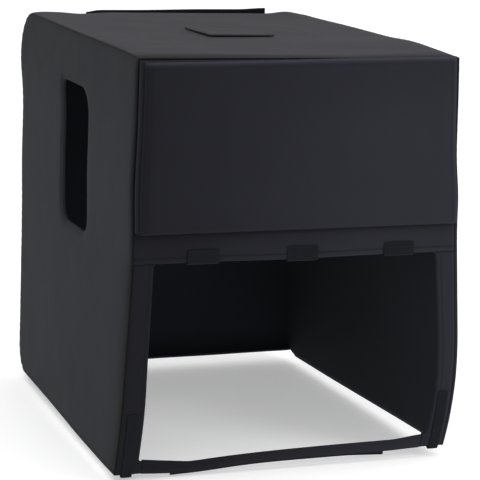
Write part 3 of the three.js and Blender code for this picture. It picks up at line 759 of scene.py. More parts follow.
def cloth_material(name, base, pitch=1.1, mottle=0.10, roughness=0.88, sheen=0.035):
    """Closely woven matt cloth: crossing yarns, a faint unevenness of colour and fine fibres."""
    nodes = Nodes(name, base, roughness, sheen)
    flat = nodes.add("ShaderNodeSeparateXYZ")
    nodes.feed(flat.inputs[0], nodes.coordinates.outputs["UV"])
    turns = 1000 * math.pi / pitch
    warp, weft = (nodes.math("SINE", nodes.math("MULTIPLY", flat.outputs[k], turns)) for k in range(2))
    over = nodes.math("GREATER_THAN", nodes.math("MULTIPLY", warp, weft), 0.0)
    yarns = [nodes.math("ABSOLUTE", wave) for wave in (warp, weft)]
    weave = nodes.math("MULTIPLY_ADD", over, nodes.math("SUBTRACT", yarns[1], yarns[0]), yarns[0])
    fibres = nodes.noise(2600.0, 3.0)
    patches = nodes.noise(9.0, 3.0, 0.6)
    clouds = nodes.noise(55.0, 2.0)
    nodes.tint(nodes.around_one(patches, mottle), nodes.around_one(clouds, mottle / 2),
               nodes.around_one(weave, 0.12), nodes.around_one(fibres, 0.12))
    nodes.feed(nodes.shader.inputs["Roughness"], nodes.math("MULTIPLY_ADD", clouds, 0.12, roughness - 0.06))
    nodes.bump(nodes.math("MULTIPLY_ADD", fibres, 0.35, weave), 0.12)
    return nodes.material


def pile_material(name, base):
    """Loop tape: a short dense pile of fine loops."""
    nodes = Nodes(name, base, 0.95, 0.04)
    loops = nodes.add("ShaderNodeTexVoronoi")
    loops.inputs["Scale"].default_value = 1300.0
    nodes.feed(loops.inputs["Vector"], nodes.place)
    fuzz = nodes.noise(3200.0, 4.0, 0.7)
    wear = nodes.noise(120.0, 3.0, 0.6)
    nodes.tint(nodes.around_one(fuzz, 0.35), nodes.around_one(wear, 0.25))
    nodes.bump(nodes.math("MULTIPLY_ADD", fuzz, 0.8, loops.outputs["Distance"]), 0.4, 0.7)
    return nodes.material


def thread_material(name, base):
    """Sewing thread with its twist."""
    nodes = Nodes(name, base, 0.7, 0.05)
    nodes.tint(nodes.around_one(nodes.noise(1800.0), 0.3))
    return nodes.material


MATERIALS = {
    "side_cloth": cloth_material("side_cloth", SIDE_COLOUR),
    "top_cloth": cloth_material("top_cloth", TOP_LIT_COLOUR),
    "front_cloth": cloth_material("front_cloth", FRONT_COLOUR),
    "tape": pile_material("tape", TAPE_COLOUR),
    "thread": thread_material("thread", THREAD_COLOUR),
}


# Camera, light and floor

def camera_axes():
    """Right, up and forward of the camera in the row frame."""
    yaw, pitch, roll = (math.radians(CAMERA[key]) for key in ("yaw", "pitch", "roll"))
    forward = Vector((math.sin(yaw) * math.cos(pitch), math.cos(yaw) * math.cos(pitch), -math.sin(pitch)))
    right = Vector((math.cos(yaw), -math.sin(yaw), 0))
    up = right.cross(forward)
    cos, sin = math.cos(roll), math.sin(roll)
    return right * cos + up * sin, up * cos - right * sin, forward


def add_camera():
    data = bpy.data.cameras.new("camera")
    data.sensor_width = 36.0
    data.lens = CAMERA["focal_pixels"] / CAMERA["frame_pixels"] * data.sensor_width
    data.clip_end = 200
    camera = bpy.data.objects.new("camera", data)
    bpy.context.scene.collection.objects.link(camera)
    right, up, forward = camera_axes()
    turn = Matrix((right, up, -forward)).transposed()
    camera.matrix_world = Matrix.Translation(to_row(CAMERA["place"]).tolist()) @ turn.to_4x4()
    bpy.context.scene.camera = camera


def add_area_light(name, place, target, size, power):
    data = bpy.data.lights.new(name, "AREA")
    data.shape = "RECTANGLE"
    data.size, data.size_y = size
    data.energy = power
    light = bpy.data.objects.new(name, data)
    bpy.context.scene.collection.objects.link(light)
    light.location = place
    light.visible_camera = False
    light.rotation_euler = (Vector(target) - Vector(place)).to_track_quat("-Z", "Y").to_euler()


def add_studio():
    world = bpy.data.worlds.new("studio")
    bpy.context.scene.world = world
    world.use_nodes = True
    background = world.node_tree.nodes["Background"]
    background.inputs["Color"].default_value = (1, 1, 1, 1)
    background.inputs["Strength"].default_value = WORLD_STRENGTH
    for name, place, size, power in LIGHTS:
        add_area_light(name, place, (0, 0, -0.3), size, power)
    half = FLOOR_SIZE / 2
    mesh = bpy.data.meshes.new("floor")
    corners = [(x * half, y * half, FLOOR_Z) for x, y in ((-1, -1), (1, -1), (1, 1), (-1, 1))]
    mesh.from_pydata(corners, [], [(0, 1, 2, 3)])
    material = bpy.data.materials.new("floor")
    material.use_nodes = True
    shader = material.node_tree.nodes["Principled BSDF"]
    shader.inputs["Base Color"].default_value = (*FLOOR_COLOUR, 1)
    shader.inputs["Roughness"].default_value = 0.9
    shader.inputs["Specular IOR Level"].default_value = 0.1
    shader.inputs["Emission Color"].default_value = (1, 1, 1, 1)
    shader.inputs["Emission Strength"].default_value = FLOOR_GLOW
    mesh.materials.append(material)
    floor = bpy.data.objects.new("floor", mesh)
    bpy.context.scene.collection.objects.link(floor)
    bpy.context.scene.view_settings.view_transform = "Standard"


add_camera()
add_studio()


# Side panels

def side_edge(t, inset):
    """Rear edge and height of a side's row. t is -1 to 0 in the hem bend, 0 to 1 up the wall, 1 to 2 in the
    top bend."""
    hem_angle = np.clip(-t, 0, 1) * math.pi / 2
    hem_radius = REAR_HEM_BEND - np.where(t <= -1, 0, inset)
    top_angle = np.clip(t - 1, 0, 1) * math.pi / 2
    top_radius = REAR_BEND_SEAM - inset
    rear = np.where(t < 0, REAR_Y - REAR_HEM_BEND + hem_radius * np.cos(hem_angle), REAR_Y - inset)
    rear = np.where(t > 1, REAR_Y - REAR_BEND_SEAM + top_radius * np.cos(top_angle), rear)
    height = lerp(WALL_LOW_Z, WALL_TOP_Z, np.clip(t, 0, 1))
    height = np.where(t < 0, WALL_LOW_Z - hem_radius * np.sin(hem_angle), height)
    height = np.where(t > 1, WALL_TOP_Z + top_radius * np.sin(top_angle), height)
    return rear, height


def side_row(z):
    """The row at a height on the wall or in the hem bend."""
    wall = (z - WALL_LOW_Z) / (WALL_TOP_Z - WALL_LOW_Z)
    bend = -np.arcsin(np.clip((WALL_LOW_Z - z) / REAR_HEM_BEND, 0, 1)) * 2 / math.pi
    return np.where(np.asarray(z) < WALL_LOW_Z, bend, wall)


def slot_distance(y, z):
    """Distance outside the handle slot's edge."""
    middle_y, middle_z = (SLOT_FRONT_Y + SLOT_REAR_Y) / 2, (SLOT_LOW_Z + SLOT_TOP_Z) / 2
    front, low = np.asarray(y) < middle_y, np.asarray(z) < middle_z
    radius = np.where(low, np.where(front, SLOT_RADII.front_low, SLOT_RADII.rear_low),
                      np.where(front, SLOT_RADII.front_top, SLOT_RADII.rear_top))
    over_y = np.abs(y - middle_y) - (SLOT_REAR_Y - SLOT_FRONT_Y) / 2 + radius
    over_z = np.abs(z - middle_z) - (SLOT_TOP_Z - SLOT_LOW_Z) / 2 + radius
    outside = np.hypot(np.maximum(over_y, 0), np.maximum(over_z, 0))
    return outside + np.minimum(np.maximum(over_y, over_z), 0) - radius


def slot_ring(offset, corner_steps=10, edge_steps=(12, 24)):
    """Points round the slot at an offset outside its edge, as y and z."""
    radii = SLOT_RADII
    corners = [
        (SLOT_REAR_Y - radii.rear_low, SLOT_LOW_Z + radii.rear_low, radii.rear_low, -90),
        (SLOT_REAR_Y - radii.rear_top, SLOT_TOP_Z - radii.rear_top, radii.rear_top, 0),
        (SLOT_FRONT_Y + radii.front_top, SLOT_TOP_Z - radii.front_top, radii.front_top, 90),
        (SLOT_FRONT_Y + radii.front_low, SLOT_LOW_Z + radii.front_low, radii.front_low, 180),
    ]
    arcs = []
    for y, z, radius, start in corners:
        angles = np.radians(start + np.linspace(0, 90, corner_steps + 1))
        turn = np.stack([np.cos(angles), np.sin(angles)], 1)
        arcs.append(np.array([y, z]) + (radius + offset) * turn)
    points = []
    for k, arc in enumerate(arcs):
        steps = edge_steps[(k + 1) % 2]
        points += [arc, lerp(arc[-1], arcs[(k + 1) % 4][0], np.linspace(0, 1, steps + 1)[1:-1, None])]
    return np.concatenate(points)


def side_cloth(side):
    def place(a, t, inset):
        rear, height = side_edge(t, inset)
        y = lerp(FRONT_Y + setback(height) + inset, rear, a)
        z = hung_z(side, y, height) - at_top(height) * top_drop(side * BODY_HALF_WIDTH, y)
        return np.stack([side * seam_distance(side, y, z), y, z], -1)

    def relief(a, t, points):
        rear, height = side_edge(t, 0.0)
        y, z = points[..., 1], points[..., 2]
        from_front = y - FRONT_Y - setback(height)
        softness = smooth((SOFT_ROLL.top - z) / SOFT_ROLL.fade)
        front_roll = lerp(rise(from_front), rise(from_front, SOFT_ROLL.length), softness)
        edges = front_roll * rise(rear - y) * rise(TOP_SEAM_Z - height)
        bulge = SIDE_BULGE * np.sin(math.pi * a) * np.sin(math.pi * height / TOP_SEAM_Z)
        soft = uneven("left_side" if side < 0 else "right_side", y, z)
        from_slot = slot_distance(y, z)
        face = edges * (PAD_RISE + bulge + wave(y, z, side) + soft)
        face = face * lerp(SLOT_PAD_SHARE, 1, rise(from_slot, SLOT_ROLL))
        face = face + groove(from_slot - SLOT_HEM) + groove(height - HEM_Z - HEM_WIDTH)
        face = face + pucker("side_top", y, TOP_SEAM_Z - height) * rise(rear - y) * rise(from_front)
        face = face + pucker("side_front", z, from_front) * rise(TOP_SEAM_Z - height) * (1 - softness)
        face = face + pucker("side_rear", z, rear - y) * rise(TOP_SEAM_Z - height)
        return face * rise(height - HEM_Z, 1.5)

    def thickness(a, t, points):
        from_slot = slot_distance(points[..., 1], points[..., 2])
        return lerp(SLOT_EDGE_THICKNESS, FOAM, rise(from_slot, SLOT_THINNING))

    def edge(a, t, points):
        height = side_edge(t, 0.0)[1]
        return np.minimum(slot_distance(points[..., 1], points[..., 2]), height - HEM_Z)

    # Painted shade: darker over the face, beside the front and top seams, in the soft roll low at the front
    # where the cloth turns to the front, and towards the top.
    def painted_light_and_tone(a, t, points):
        painted_lights_and_tones = SIDE_PAINTED_SHADE
        height = side_edge(t, 0.0)[1]
        from_front = points[..., 1] - FRONT_Y - setback(height)
        low = smooth((painted_lights_and_tones.low_z - points[..., 2]) / painted_lights_and_tones.low_fade)
        seam = 1 - lerp(painted_lights_and_tones.seam, painted_lights_and_tones.seam_low, low) * np.exp(-from_front / painted_lights_and_tones.seam_length[side])
        top = 1 - painted_lights_and_tones.top * np.exp(-(TOP_SEAM_Z - height) / painted_lights_and_tones.top_length)
        soft = 1 - painted_lights_and_tones.soft * low * np.exp(-from_front / painted_lights_and_tones.soft_length)
        upper = 1 - painted_lights_and_tones.upper * smooth((height - painted_lights_and_tones.upper_z) / painted_lights_and_tones.upper_fade)
        return painted_lights_and_tones.face * seam * top * soft * upper

    return Cloth(place, relief, (side, 0, 0), ((0, 1), (-1, 2)), thickness, edge, painted_light_and_tone)


def side_panel(side, name):
    """A grid over the whole side, with a window cut out for the slot. Rings follow the slot's edge, and
    triangles join them to the window."""
    cloth = side_cloth(side)
    along = stations(0, BODY_DEPTH, GRID, *edge_zones(0, BODY_DEPTH)) / BODY_DEPTH
    heights = stations(HEM_Z, WALL_TOP_Z, GRID, (HEM_Z, HEM_Z + 3, 0.5), (HEM_Z + 3, HEM_Z + 14, 0.9),
                       (HEM_Z + 14, WALL_LOW_Z, 3))
    bend = 1 + np.concatenate([np.linspace(0, 0.8, 13)[1:], np.linspace(0.8, 1, 9)[1:]])
    rows = np.concatenate([side_row(heights), bend])
    columns, count = len(along), len(rows)
    a, t = (g.ravel() for g in np.meshgrid(along, rows, indexing="ij"))
    grid = cloth.place(a, t, 0.0)[:, 1:]
    margin = SLOT_OFFSETS[-1] + GRID
    i0 = np.searchsorted(along, (SLOT_FRONT_Y - margin - FRONT_Y) / BODY_DEPTH) - 1
    i1 = np.searchsorted(along, (SLOT_REAR_Y + margin - FRONT_Y) / BODY_DEPTH)
    j0 = np.searchsorted(rows, side_row(SLOT_LOW_Z - margin)) - 1
    j1 = np.searchsorted(rows, side_row(SLOT_TOP_Z + margin))
    at = lambda i, j: i * count + j
    faces = [face for face in grid_faces(columns, count)
             if not (i0 <= face[0] // count < i1 and j0 <= face[0] % count < j1)]
    window = [at(i, j0) for i in range(i0, i1)] + [at(i1, j) for j in range(j0, j1)]
    window += [at(i, j1) for i in range(i1, i0, -1)] + [at(i0, j) for j in range(j1, j0, -1)]
    rings = [slot_ring(offset) for offset in SLOT_OFFSETS]
    size, start = len(rings[0]), columns * count
    for k in range(len(rings) - 1):
        for n in range(size):
            low, high, m = start + k * size, start + (k + 1) * size, (n + 1) % size
            faces.append((low + n, low + m, high + m, high + n))
    outer_ring = start + (len(rings) - 1) * size + np.arange(size)
    corners = [*window, *outer_ring]
    outline = [Vector(p) for p in (*grid[window], *rings[-1])]
    edges = [(k, (k + 1) % len(window)) for k in range(len(window))]
    edges += [(len(window) + k, len(window) + (k + 1) % size) for k in range(size)]
    coords, _, triangles, origins, *_ = delaunay_2d_cdt(outline, edges, [], 0, 1e-5)
    for triangle in triangles:
        middle = sum((coords[v] for v in triangle), Vector((0, 0))) / 3
        if slot_distance(middle.x, middle.y) > SLOT_OFFSETS[-1]:
            faces.append(tuple(int(corners[origins[v][0]]) for v in triangle))
    ring_points = np.concatenate(rings)
    front = FRONT_Y + setback(ring_points[:, 1])
    a = np.concatenate([a, (ring_points[:, 0] - front) / (REAR_Y - front)])
    t = np.concatenate([t, side_row(ring_points[:, 1])])
    used = np.unique(np.concatenate([np.array(face) for face in faces]))
    lookup = np.full(len(a), -1)
    lookup[used] = np.arange(len(used))
    faces = [tuple(int(lookup[v]) for v in face) for face in faces]
    loops = [lookup[grid_loop(columns, count)], lookup[start + np.arange(size)]]
    a, t = a[used], t[used]
    piece = shell(name, cloth, a, t, faces, loops, cloth.place(a, t, 0.0)[:, 1:], "side_cloth")
    along = np.linspace(0.01, SEWN_SHARE, 140)
    ring = slot_ring(SLOT_HEM)
    ring = np.concatenate([ring, ring[:1]])
    front = FRONT_Y + setback(ring[:, 1])
    runs = [run(cloth, along, side_row(HEM_Z + HEM_WIDTH)),
            run(cloth, (ring[:, 0] - front) / (REAR_Y - front), side_row(ring[:, 1]))]
    sewn = thread(name + "_stitches", runs)


# Top and back

def top_place(part, t, inset):
    """t is 0 to 1 along the top and 1 to 2 in the bend to the back."""
    radius = rear_bend(part)
    angle = np.clip(t - 1, 0, 1) * math.pi / 2
    y = lerp(FRONT_Y + inset, REAR_Y - radius, np.clip(t, 0, 1)) + radius * np.sin(angle)
    height = TOP_SEAM_Z - radius * (1 - np.cos(angle)) + np.where(t >= 2, SEAM_GAP, 0)
    z = height - at_top(height) * top_drop(part * BODY_HALF_WIDTH, y)
    return np.stack([part * (seam_distance(part, y, z) - inset), y, z], -1)


def top_relief(x, y, from_side):
    sag = TOP_SAG * (1 - (x / BODY_HALF_WIDTH) ** 2)
    padding = TOP_PAD_RISE - sag + wave(x, y, TOP_WAVE_PHASE)
    return rise(from_side) * rise(y - FRONT_Y, TOP_FRONT_ROLL) * padding


def top_panel():
    def relief(part, t, points):
        x, y, z = np.moveaxis(points, -1, 0)
        from_side = seam_distance(part, y, z) - np.abs(x)
        from_seam = rear_bend(part) * (2 - t) * math.pi / 2
        bent = smooth((t - 1) / 0.4)
        face = lerp(top_relief(x, y, from_side), TOP_PAD_RISE * rise(from_side) * rise(from_seam), bent)
        soft = uneven("top", x, y) * rise(from_side, 12) * rise(y - FRONT_Y, 16) * (1 - bent)
        seams = pucker("top_side", y, from_side) * rise(y - FRONT_Y, 9) * (1 - bent)
        return face + soft + seams + creases(x, y, TOP_CREASES)

    # Painted light: painted shade in the side seams and over the front edge's roll, and painted highlights
    # in a band beside the side seams and on a ridge behind the front.
    def painted_light_and_tone(part, t, points):
        x, y, z = np.moveaxis(points, -1, 0)
        from_front = y - FRONT_Y
        from_side = seam_distance(part, y, z) - np.abs(x)
        side = 1 - TOP_PAINTED_LIGHT.side * fall(from_side, TOP_PAINTED_LIGHT.side_length)
        border = TOP_PAINTED_LIGHT.border * fall(from_side - TOP_PAINTED_LIGHT.border_from, TOP_PAINTED_LIGHT.border_length)
        front = 1 - TOP_PAINTED_LIGHT.front * fall(from_front, TOP_PAINTED_LIGHT.front_length)
        ridge = TOP_PAINTED_LIGHT.ridge * fall(from_front - TOP_PAINTED_LIGHT.ridge_from, TOP_PAINTED_LIGHT.ridge_length)
        return (side + border) * (front + ridge)

    cloth = Cloth(top_place, relief, (0, -0.2, 1), ((-1, 1), (0, 2)), painted_light_and_tone=painted_light_and_tone)
    flat_depth = BODY_DEPTH - REAR_BEND_SEAM
    along = stations(0, flat_depth, GRID, *edge_zones(0, flat_depth)) / flat_depth
    rows = np.concatenate([along, 1 + np.linspace(0, 1, 19)[1:]])
    unit = BODY_HALF_WIDTH, flat_depth
    piece = grid_piece("top_panel", cloth, across_body(), rows, unit, "top_cloth")


def back_panel():
    low = -REAR_HEM_ANGLE / 90

    def place(part, t, inset):
        """t is below 0 in the hem bend and 0 to 1 up the wall."""
        angle = np.clip(-t, 0, 1) * math.pi / 2
        y = REAR_Y - REAR_HEM_BEND * (1 - np.cos(angle))
        top = TOP_SEAM_Z - rear_bend(part) - SEAM_GAP
        bend_z = WALL_LOW_Z - REAR_HEM_BEND * np.sin(angle)
        z = np.where(t < 0, bend_z, lerp(WALL_LOW_Z, top, np.clip(t, 0, 1)))
        return np.stack([part * (seam_distance(part, y, z) - inset + REAR_LAP), y, z], -1)

    def edge(part, t, points):
        return (t - low) * math.pi / 2 * REAR_HEM_BEND

    def relief(part, t, points):
        x, y, z = np.moveaxis(points, -1, 0)
        from_side = seam_distance(part, y, z) - np.abs(x)
        from_seam = TOP_SEAM_Z - rear_bend(part) - z
        from_hem = edge(part, t, points)
        inside = rise(from_side) * rise(from_seam)
        face = (PAD_RISE + uneven("back", x, z)) * inside * rise(from_hem, 1.5)
        seams = pucker("back_side", z, from_side) + pucker("back_top", x, from_seam)
        return face + seams * inside * rise(from_hem) + groove(from_hem - HEM_WIDTH)

    cloth = Cloth(place, relief, (0, 1, 0), ((-1, 1), (low, 1)), edge=edge)
    wall = WALL_TOP_Z - WALL_LOW_Z
    hem = low * (1 - np.concatenate([[0, 0.01, 0.025, 0.045, 0.07], np.linspace(0.1, 0.95, 24)]))
    rows = np.concatenate([hem, stations(0, wall, GRID, *edge_zones(0, wall)) / wall])
    piece = grid_piece("back_panel", cloth, across_body(), rows, (BODY_HALF_WIDTH, wall), "side_cloth")
    stitched = low + HEM_WIDTH / REAR_HEM_BEND * 2 / math.pi
    sewn = thread("back_panel_stitches", [run(cloth, np.linspace(-SEWN_SHARE, SEWN_SHARE, 140), stitched)])


# Front frame

def front_header():
    def place(part, t, inset):
        seam_z = top_seam_z(part * BODY_HALF_WIDTH, FRONT_Y) - inset
        z = lerp(HEADER_Z, seam_z, t)
        z = z - header_sag(part * BODY_HALF_WIDTH) * smooth(1 - (z - HEADER_Z) / HEADER_SAG.reach)
        return np.stack([part * (seam_distance(part, FRONT_Y, z) - inset), np.full_like(z, FRONT_Y), z], -1)

    def relief(part, t, points):
        x, _, z = np.moveaxis(points, -1, 0)
        from_side = seam_distance(part, FRONT_Y, z) - np.abs(x)
        from_top = top_seam_z(x, FRONT_Y) - z
        from_hem = z - HEADER_Z + header_sag(x)
        face = FRONT_PAD_RISE * rise(from_side) * rise(from_top) * rise(from_hem, 2)
        tabs = sum(fall(x - TAB_MIDDLE_X - k * TAB_PITCH, TAB_WIDTH / 2) for k in (-1, 0, 1))
        flat = 1 - TAB_FLATTENING * np.minimum(tabs, 1)
        soft = uneven("header", x, z) * flat * rise(from_side, 9) * rise(from_hem, 9)
        lap, _ = lapped_seam(smooth(x / LAP.fade), from_side)
        return face + soft + lap + groove(from_hem - HEM_WIDTH) * rise(from_side, 2)

    def edge(part, t, points):
        return points[..., 2] - HEADER_Z + header_sag(points[..., 0])

    # Painted light: the header a little lighter over its face, the front's painted gradient, a painted
    # shadow under the flap's fold, painted shade in the hem's stitch line, and the lap's painted light.
    def painted_light_and_tone(part, t, points):
        x, y, z = np.moveaxis(points, -1, 0)
        from_fold = np.maximum(0, FLAP_FOLD_Z - z)
        under_fold = 1 - HEADER_PAINTED_LIGHT.under_fold * np.exp(-from_fold / HEADER_PAINTED_LIGHT.under_fold_length)
        hem = 1 - HEADER_PAINTED_LIGHT.hem * fall(edge(part, t, points) - HEM_WIDTH, HEADER_PAINTED_LIGHT.hem_length)
        _, lap = lapped_seam(smooth(x / LAP.fade), seam_distance(part, y, z) - np.abs(x))
        return HEADER_PAINTED_LIGHT.face * front_painted_gradient(x) * under_fold * hem * lap

    cloth = Cloth(place, relief, (0, -1, 0), ((-1, 1), (0, 1)), edge=edge, painted_light_and_tone=painted_light_and_tone)
    height = TOP_SEAM_Z - TOP_SEAM_DIP - HEADER_Z
    rows = stations(0, height, GRID, (0, 3, 0.5), (3, 14, 0.9), (height - 9, height, 1.5)) / height
    piece = grid_piece("front_header", cloth, across_body(), rows, (BODY_HALF_WIDTH, height), "front_cloth")
    hem = run(cloth, np.linspace(-SEWN_SHARE, SEWN_SHARE, 130), HEM_WIDTH / height)
    sewn = thread("front_header_stitches", [hem])


def front_post(side, name):
    height = HEADER_Z - HEM_Z - POST_TOP_GAP
    right = float(side > 0)

    def place(a, t, inset):
        level = HEM_Z + height * t
        y = FRONT_Y + setback(level)
        z = hung_z(side, y, level)
        x = lerp(opening_half_width(side, level), seam_distance(side, y, z) - inset, a)
        return np.stack([side * x, y, z], -1)

    def distances(t, points):
        x, y, z = np.moveaxis(points, -1, 0)
        from_middle, opening = np.abs(x), opening_half_width(side, HEM_Z + height * t)
        return seam_distance(side, y, z) - from_middle, from_middle - opening

    def relief(a, t, points):
        z = HEM_Z + height * t
        from_seam, from_edge = distances(t, points)
        face = FRONT_PAD_RISE * rise(from_seam) * rise(from_edge, 2.2)
        face = face * rise(HEADER_Z - z, 3) * rise(z - HEM_Z, 2.2)
        face = face + groove(from_edge - POST_HEM) * rise(from_seam, 2) + lapped_seam(right, from_seam)[0]
        return face + pucker("post_left" if side < 0 else "post_right", z, from_edge + 2) * rise(from_edge)

    def edge(a, t, points):
        return np.minimum(distances(t, points)[1], height * t)

    # Painted shade beside the left post's seam and at the hem's stitch line, with the lap's painted light
    # on the right post and the front's painted gradient.
    def painted_light_and_tone(a, t, points):
        from_seam, from_edge = distances(t, points)
        seam = 1 - POST_PAINTED_SHADE.seam * fall(from_seam, POST_PAINTED_SHADE.seam_length) * (1 - right)
        hem = 1 - POST_PAINTED_SHADE.hem * fall(from_edge - POST_HEM, POST_PAINTED_SHADE.hem_length)
        return front_painted_gradient(points[..., 0]) * seam * lapped_seam(right, from_seam)[1] * hem

    cloth = Cloth(place, relief, (0, -1, 0), ((0, 1), (0, 1)), edge=edge, painted_light_and_tone=painted_light_and_tone)
    flat_width = POST_FLAT_WIDTH
    columns = stations(0, flat_width, 1.5, (0, 2.5, 0.5), (flat_width - 2, flat_width, 0.5)) / flat_width
    rows = stations(0, height, 4, (0, 3, 0.6), (16, 38, 1.2), (height - 9, height, 0.8)) / height
    piece = grid_piece(name, cloth, columns, rows, (flat_width, height), "front_cloth")
    t = np.linspace(0.03, 0.985, 120)
    z = HEM_Z + height * t
    wide = seam_distance(side, FRONT_Y + setback(z), z) - opening_half_width(side, z)
    sewn = thread(name + "_stitches", [run(cloth, POST_HEM / wide, t)])


def front_bottom_strip():
    left = -opening_half_width(-1, OPENING_BOTTOM_Z[-1]) + CLEARANCE
    right = opening_half_width(1, OPENING_BOTTOM_Z[1]) - CLEARANCE

    def place(a, t, inset):
        x = lerp(left, right, a)
        z = lerp(strip_low(x), strip_top(x), t)
        return np.stack([x, FRONT_Y + setback(z), z], -1)

    def edge(a, t, points):
        x = points[..., 0]
        return (strip_top(x) - strip_low(x)) * np.minimum(t, 1 - t)

    def relief(a, t, points):
        from_edge = edge(a, t, points)
        folds = uneven("strip", points[..., 0], t * STRIP.folds_height) * rise(from_edge, 3)
        return FRONT_PAD_RISE * np.sin(math.pi * t) + folds + groove(from_edge - STRIP_HEM)

    # Painted light: the front's darker left and lighter right.
    painted_light_and_tone = lambda a, t, points: front_painted_gradient(points[..., 0])
    cloth = Cloth(place, relief, (0, -1, 0), ((0, 1), (0, 1)), edge=edge, painted_light_and_tone=painted_light_and_tone)
    size = right - left, STRIP.flat_height
    columns, rows = fine_ends(size[0], 3.5, 2.5, 0.5), fine_ends(size[1], 1.2, 2.5, 0.5)
    piece = grid_piece("front_bottom_strip", cloth, columns, rows, size, "front_cloth")
    a = np.linspace(0.012, 0.988, 160)
    hem = STRIP_HEM / (strip_top(lerp(left, right, a)) - strip_low(lerp(left, right, a)))
    runs = [run(cloth, a, hem), run(cloth, a, 1 - hem)]
    sewn = thread("front_bottom_strip_stitches", runs)


# Front flap: down behind, round the fold and up in front

def front_flap():
    back_y = FRONT_Y - FRONT_PAD_RISE - CLEARANCE - SEAM_GAP
    radius = FLAP_THICKNESS + FLAP_GAP / 2
    middle_y = back_y - radius
    fold_z = FLAP_FOLD_Z + radius
    inner_leg, outer_leg = FLAP_INNER_TOP_Z - fold_z, FLAP_OUTER_TOP_Z - fold_z

    def path(t):
        """y, z and layer of the path: t is 0 to 1 down the inner leg, to 2 round the fold and to 3 up the
        outer leg."""
        angle = np.clip(t - 1, 0, 1) * math.pi
        y = middle_y + radius * np.cos(angle)
        z = fold_z - radius * np.sin(angle)
        z = z + inner_leg * np.clip(1 - t, 0, 1) + outer_leg * np.clip(t - 2, 0, 1)
        return y, z, np.clip(t - 1, 0, 1)

    def share_up(z):
        return np.clip((z - fold_z) / outer_leg, 0, 1)

    def bounds(t):
        """Left and right edge."""
        _, z, layer = path(t)
        high = share_up(z)
        left = -seam_distance(-1, FRONT_Y, z) + FLAP_OUTER_INSET * smooth(layer)
        right = seam_distance(1, FRONT_Y, z) - lerp(FLAP_RIGHT_INSET_LOW, FLAP_RIGHT_INSET_TOP, high)
        return left, right

    def place(part, t, inset):
        y, z, _ = path(t)
        left, right = bounds(t)
        raised = FLAP_OUTER_TOP_RISE * share_up(z) * smooth((part + 1) / 2) * (t > 2)
        return np.stack([lerp(left, right, (part + 1) / 2), y, z + raised], -1)

    def edge(part, t, points):
        left, right = bounds(t)
        x = points[..., 0]
        ends = np.minimum(t * inner_leg, (3 - t) * outer_leg)
        return np.minimum(ends, np.minimum(x - left, right - x))

    def relief(part, t, points):
        x, _, z = np.moveaxis(points, -1, 0)
        from_edge = edge(part, t, points)
        outside = smooth((t - FLAP_OUTSIDE_FROM) / FLAP_OUTSIDE_FADE)
        face = FLAP_CROWN * np.cos(math.pi * part / 2) * np.sin(math.pi * share_up(z))
        face = face + uneven("flap", x, z) * rise(from_edge, 12) + creases(x, z, FLAP_CREASES)
        face = face - FLAP_ROLL.top * np.exp(-(3 - t) * outer_leg / FLAP_ROLL.top_length)
        face = face - FLAP_ROLL.left * np.exp(-(x - bounds(t)[0]) / FLAP_ROLL.left_length)
        return outside * face + groove(from_edge - HEM_WIDTH) * (t > 1.9)

    # Painted light: the front's gradient, lighter low on the right; painted shade in a band by the left
    # edge and over the fold's underside; the inner leg painted near black where the gap behind the flap is
    # in shade, with a painted highlight near its top at the left; painted highlights along the top, right
    # and left edges.
    def painted_light_and_tone(part, t, points):
        painted_lights_and_tones = FLAP_PAINTED_LIGHT
        left, right = bounds(t)
        x = points[..., 0]
        low = smooth(2 - (t - 2) * 2)
        face = lerp(painted_lights_and_tones.left, painted_lights_and_tones.right + painted_lights_and_tones.low * low, across_front(x))
        face = face * (1 - painted_lights_and_tones.band * fall(x - left, painted_lights_and_tones.band_length))
        face = face * (1 - painted_lights_and_tones.behind * (t < painted_lights_and_tones.behind_to))
        lit = (painted_lights_and_tones.top * fall((3 - t) * outer_leg - painted_lights_and_tones.top_from, painted_lights_and_tones.top_length)
               + painted_lights_and_tones.right_edge * fall(right - x - painted_lights_and_tones.right_from, painted_lights_and_tones.right_length)
               + painted_lights_and_tones.left_edge * fall(x - left, painted_lights_and_tones.left_length))
        gap_light = smooth((painted_lights_and_tones.gap_x - x) / painted_lights_and_tones.gap_fade) * fall(t * inner_leg, painted_lights_and_tones.gap_length)
        return np.where(t < 0.9, painted_lights_and_tones.gap + painted_lights_and_tones.gap_light * gap_light, face + lit * (t > 1.8))

    cloth = Cloth(place, relief, (0, 0, -1), ((-1, 1), (0, 3)), FLAP_THICKNESS, edge, painted_light_and_tone)
    down = stations(0, inner_leg, 9, (0, 3, 0.5)) / inner_leg
    up = 2 + stations(0, outer_leg, GRID, (0, 12, 2), (outer_leg - 14, outer_leg - 3, 0.9),
                      (outer_leg - 3, outer_leg, 0.5)) / outer_leg
    rows = np.concatenate([down, 1 + np.linspace(0, 1, 25)[1:-1], up])
    unit = BODY_HALF_WIDTH, outer_leg
    piece = grid_piece("front_flap", cloth, across_body(hemmed=True), rows, unit, "front_cloth")
    t_top = 3 - HEM_WIDTH / outer_leg
    t = np.linspace(2.0, t_top, 70)
    left, right = bounds(t)
    inward = 2 * HEM_WIDTH / (right - left)
    top = np.linspace(-1 + inward[-1], 1 - inward[-1], 140)
    runs = [run(cloth, -1 + inward, t), run(cloth, 1 - inward, t), run(cloth, top, t_top)]
    sewn = thread("front_flap_stitches", runs)


# Tape wrapped round a lower edge

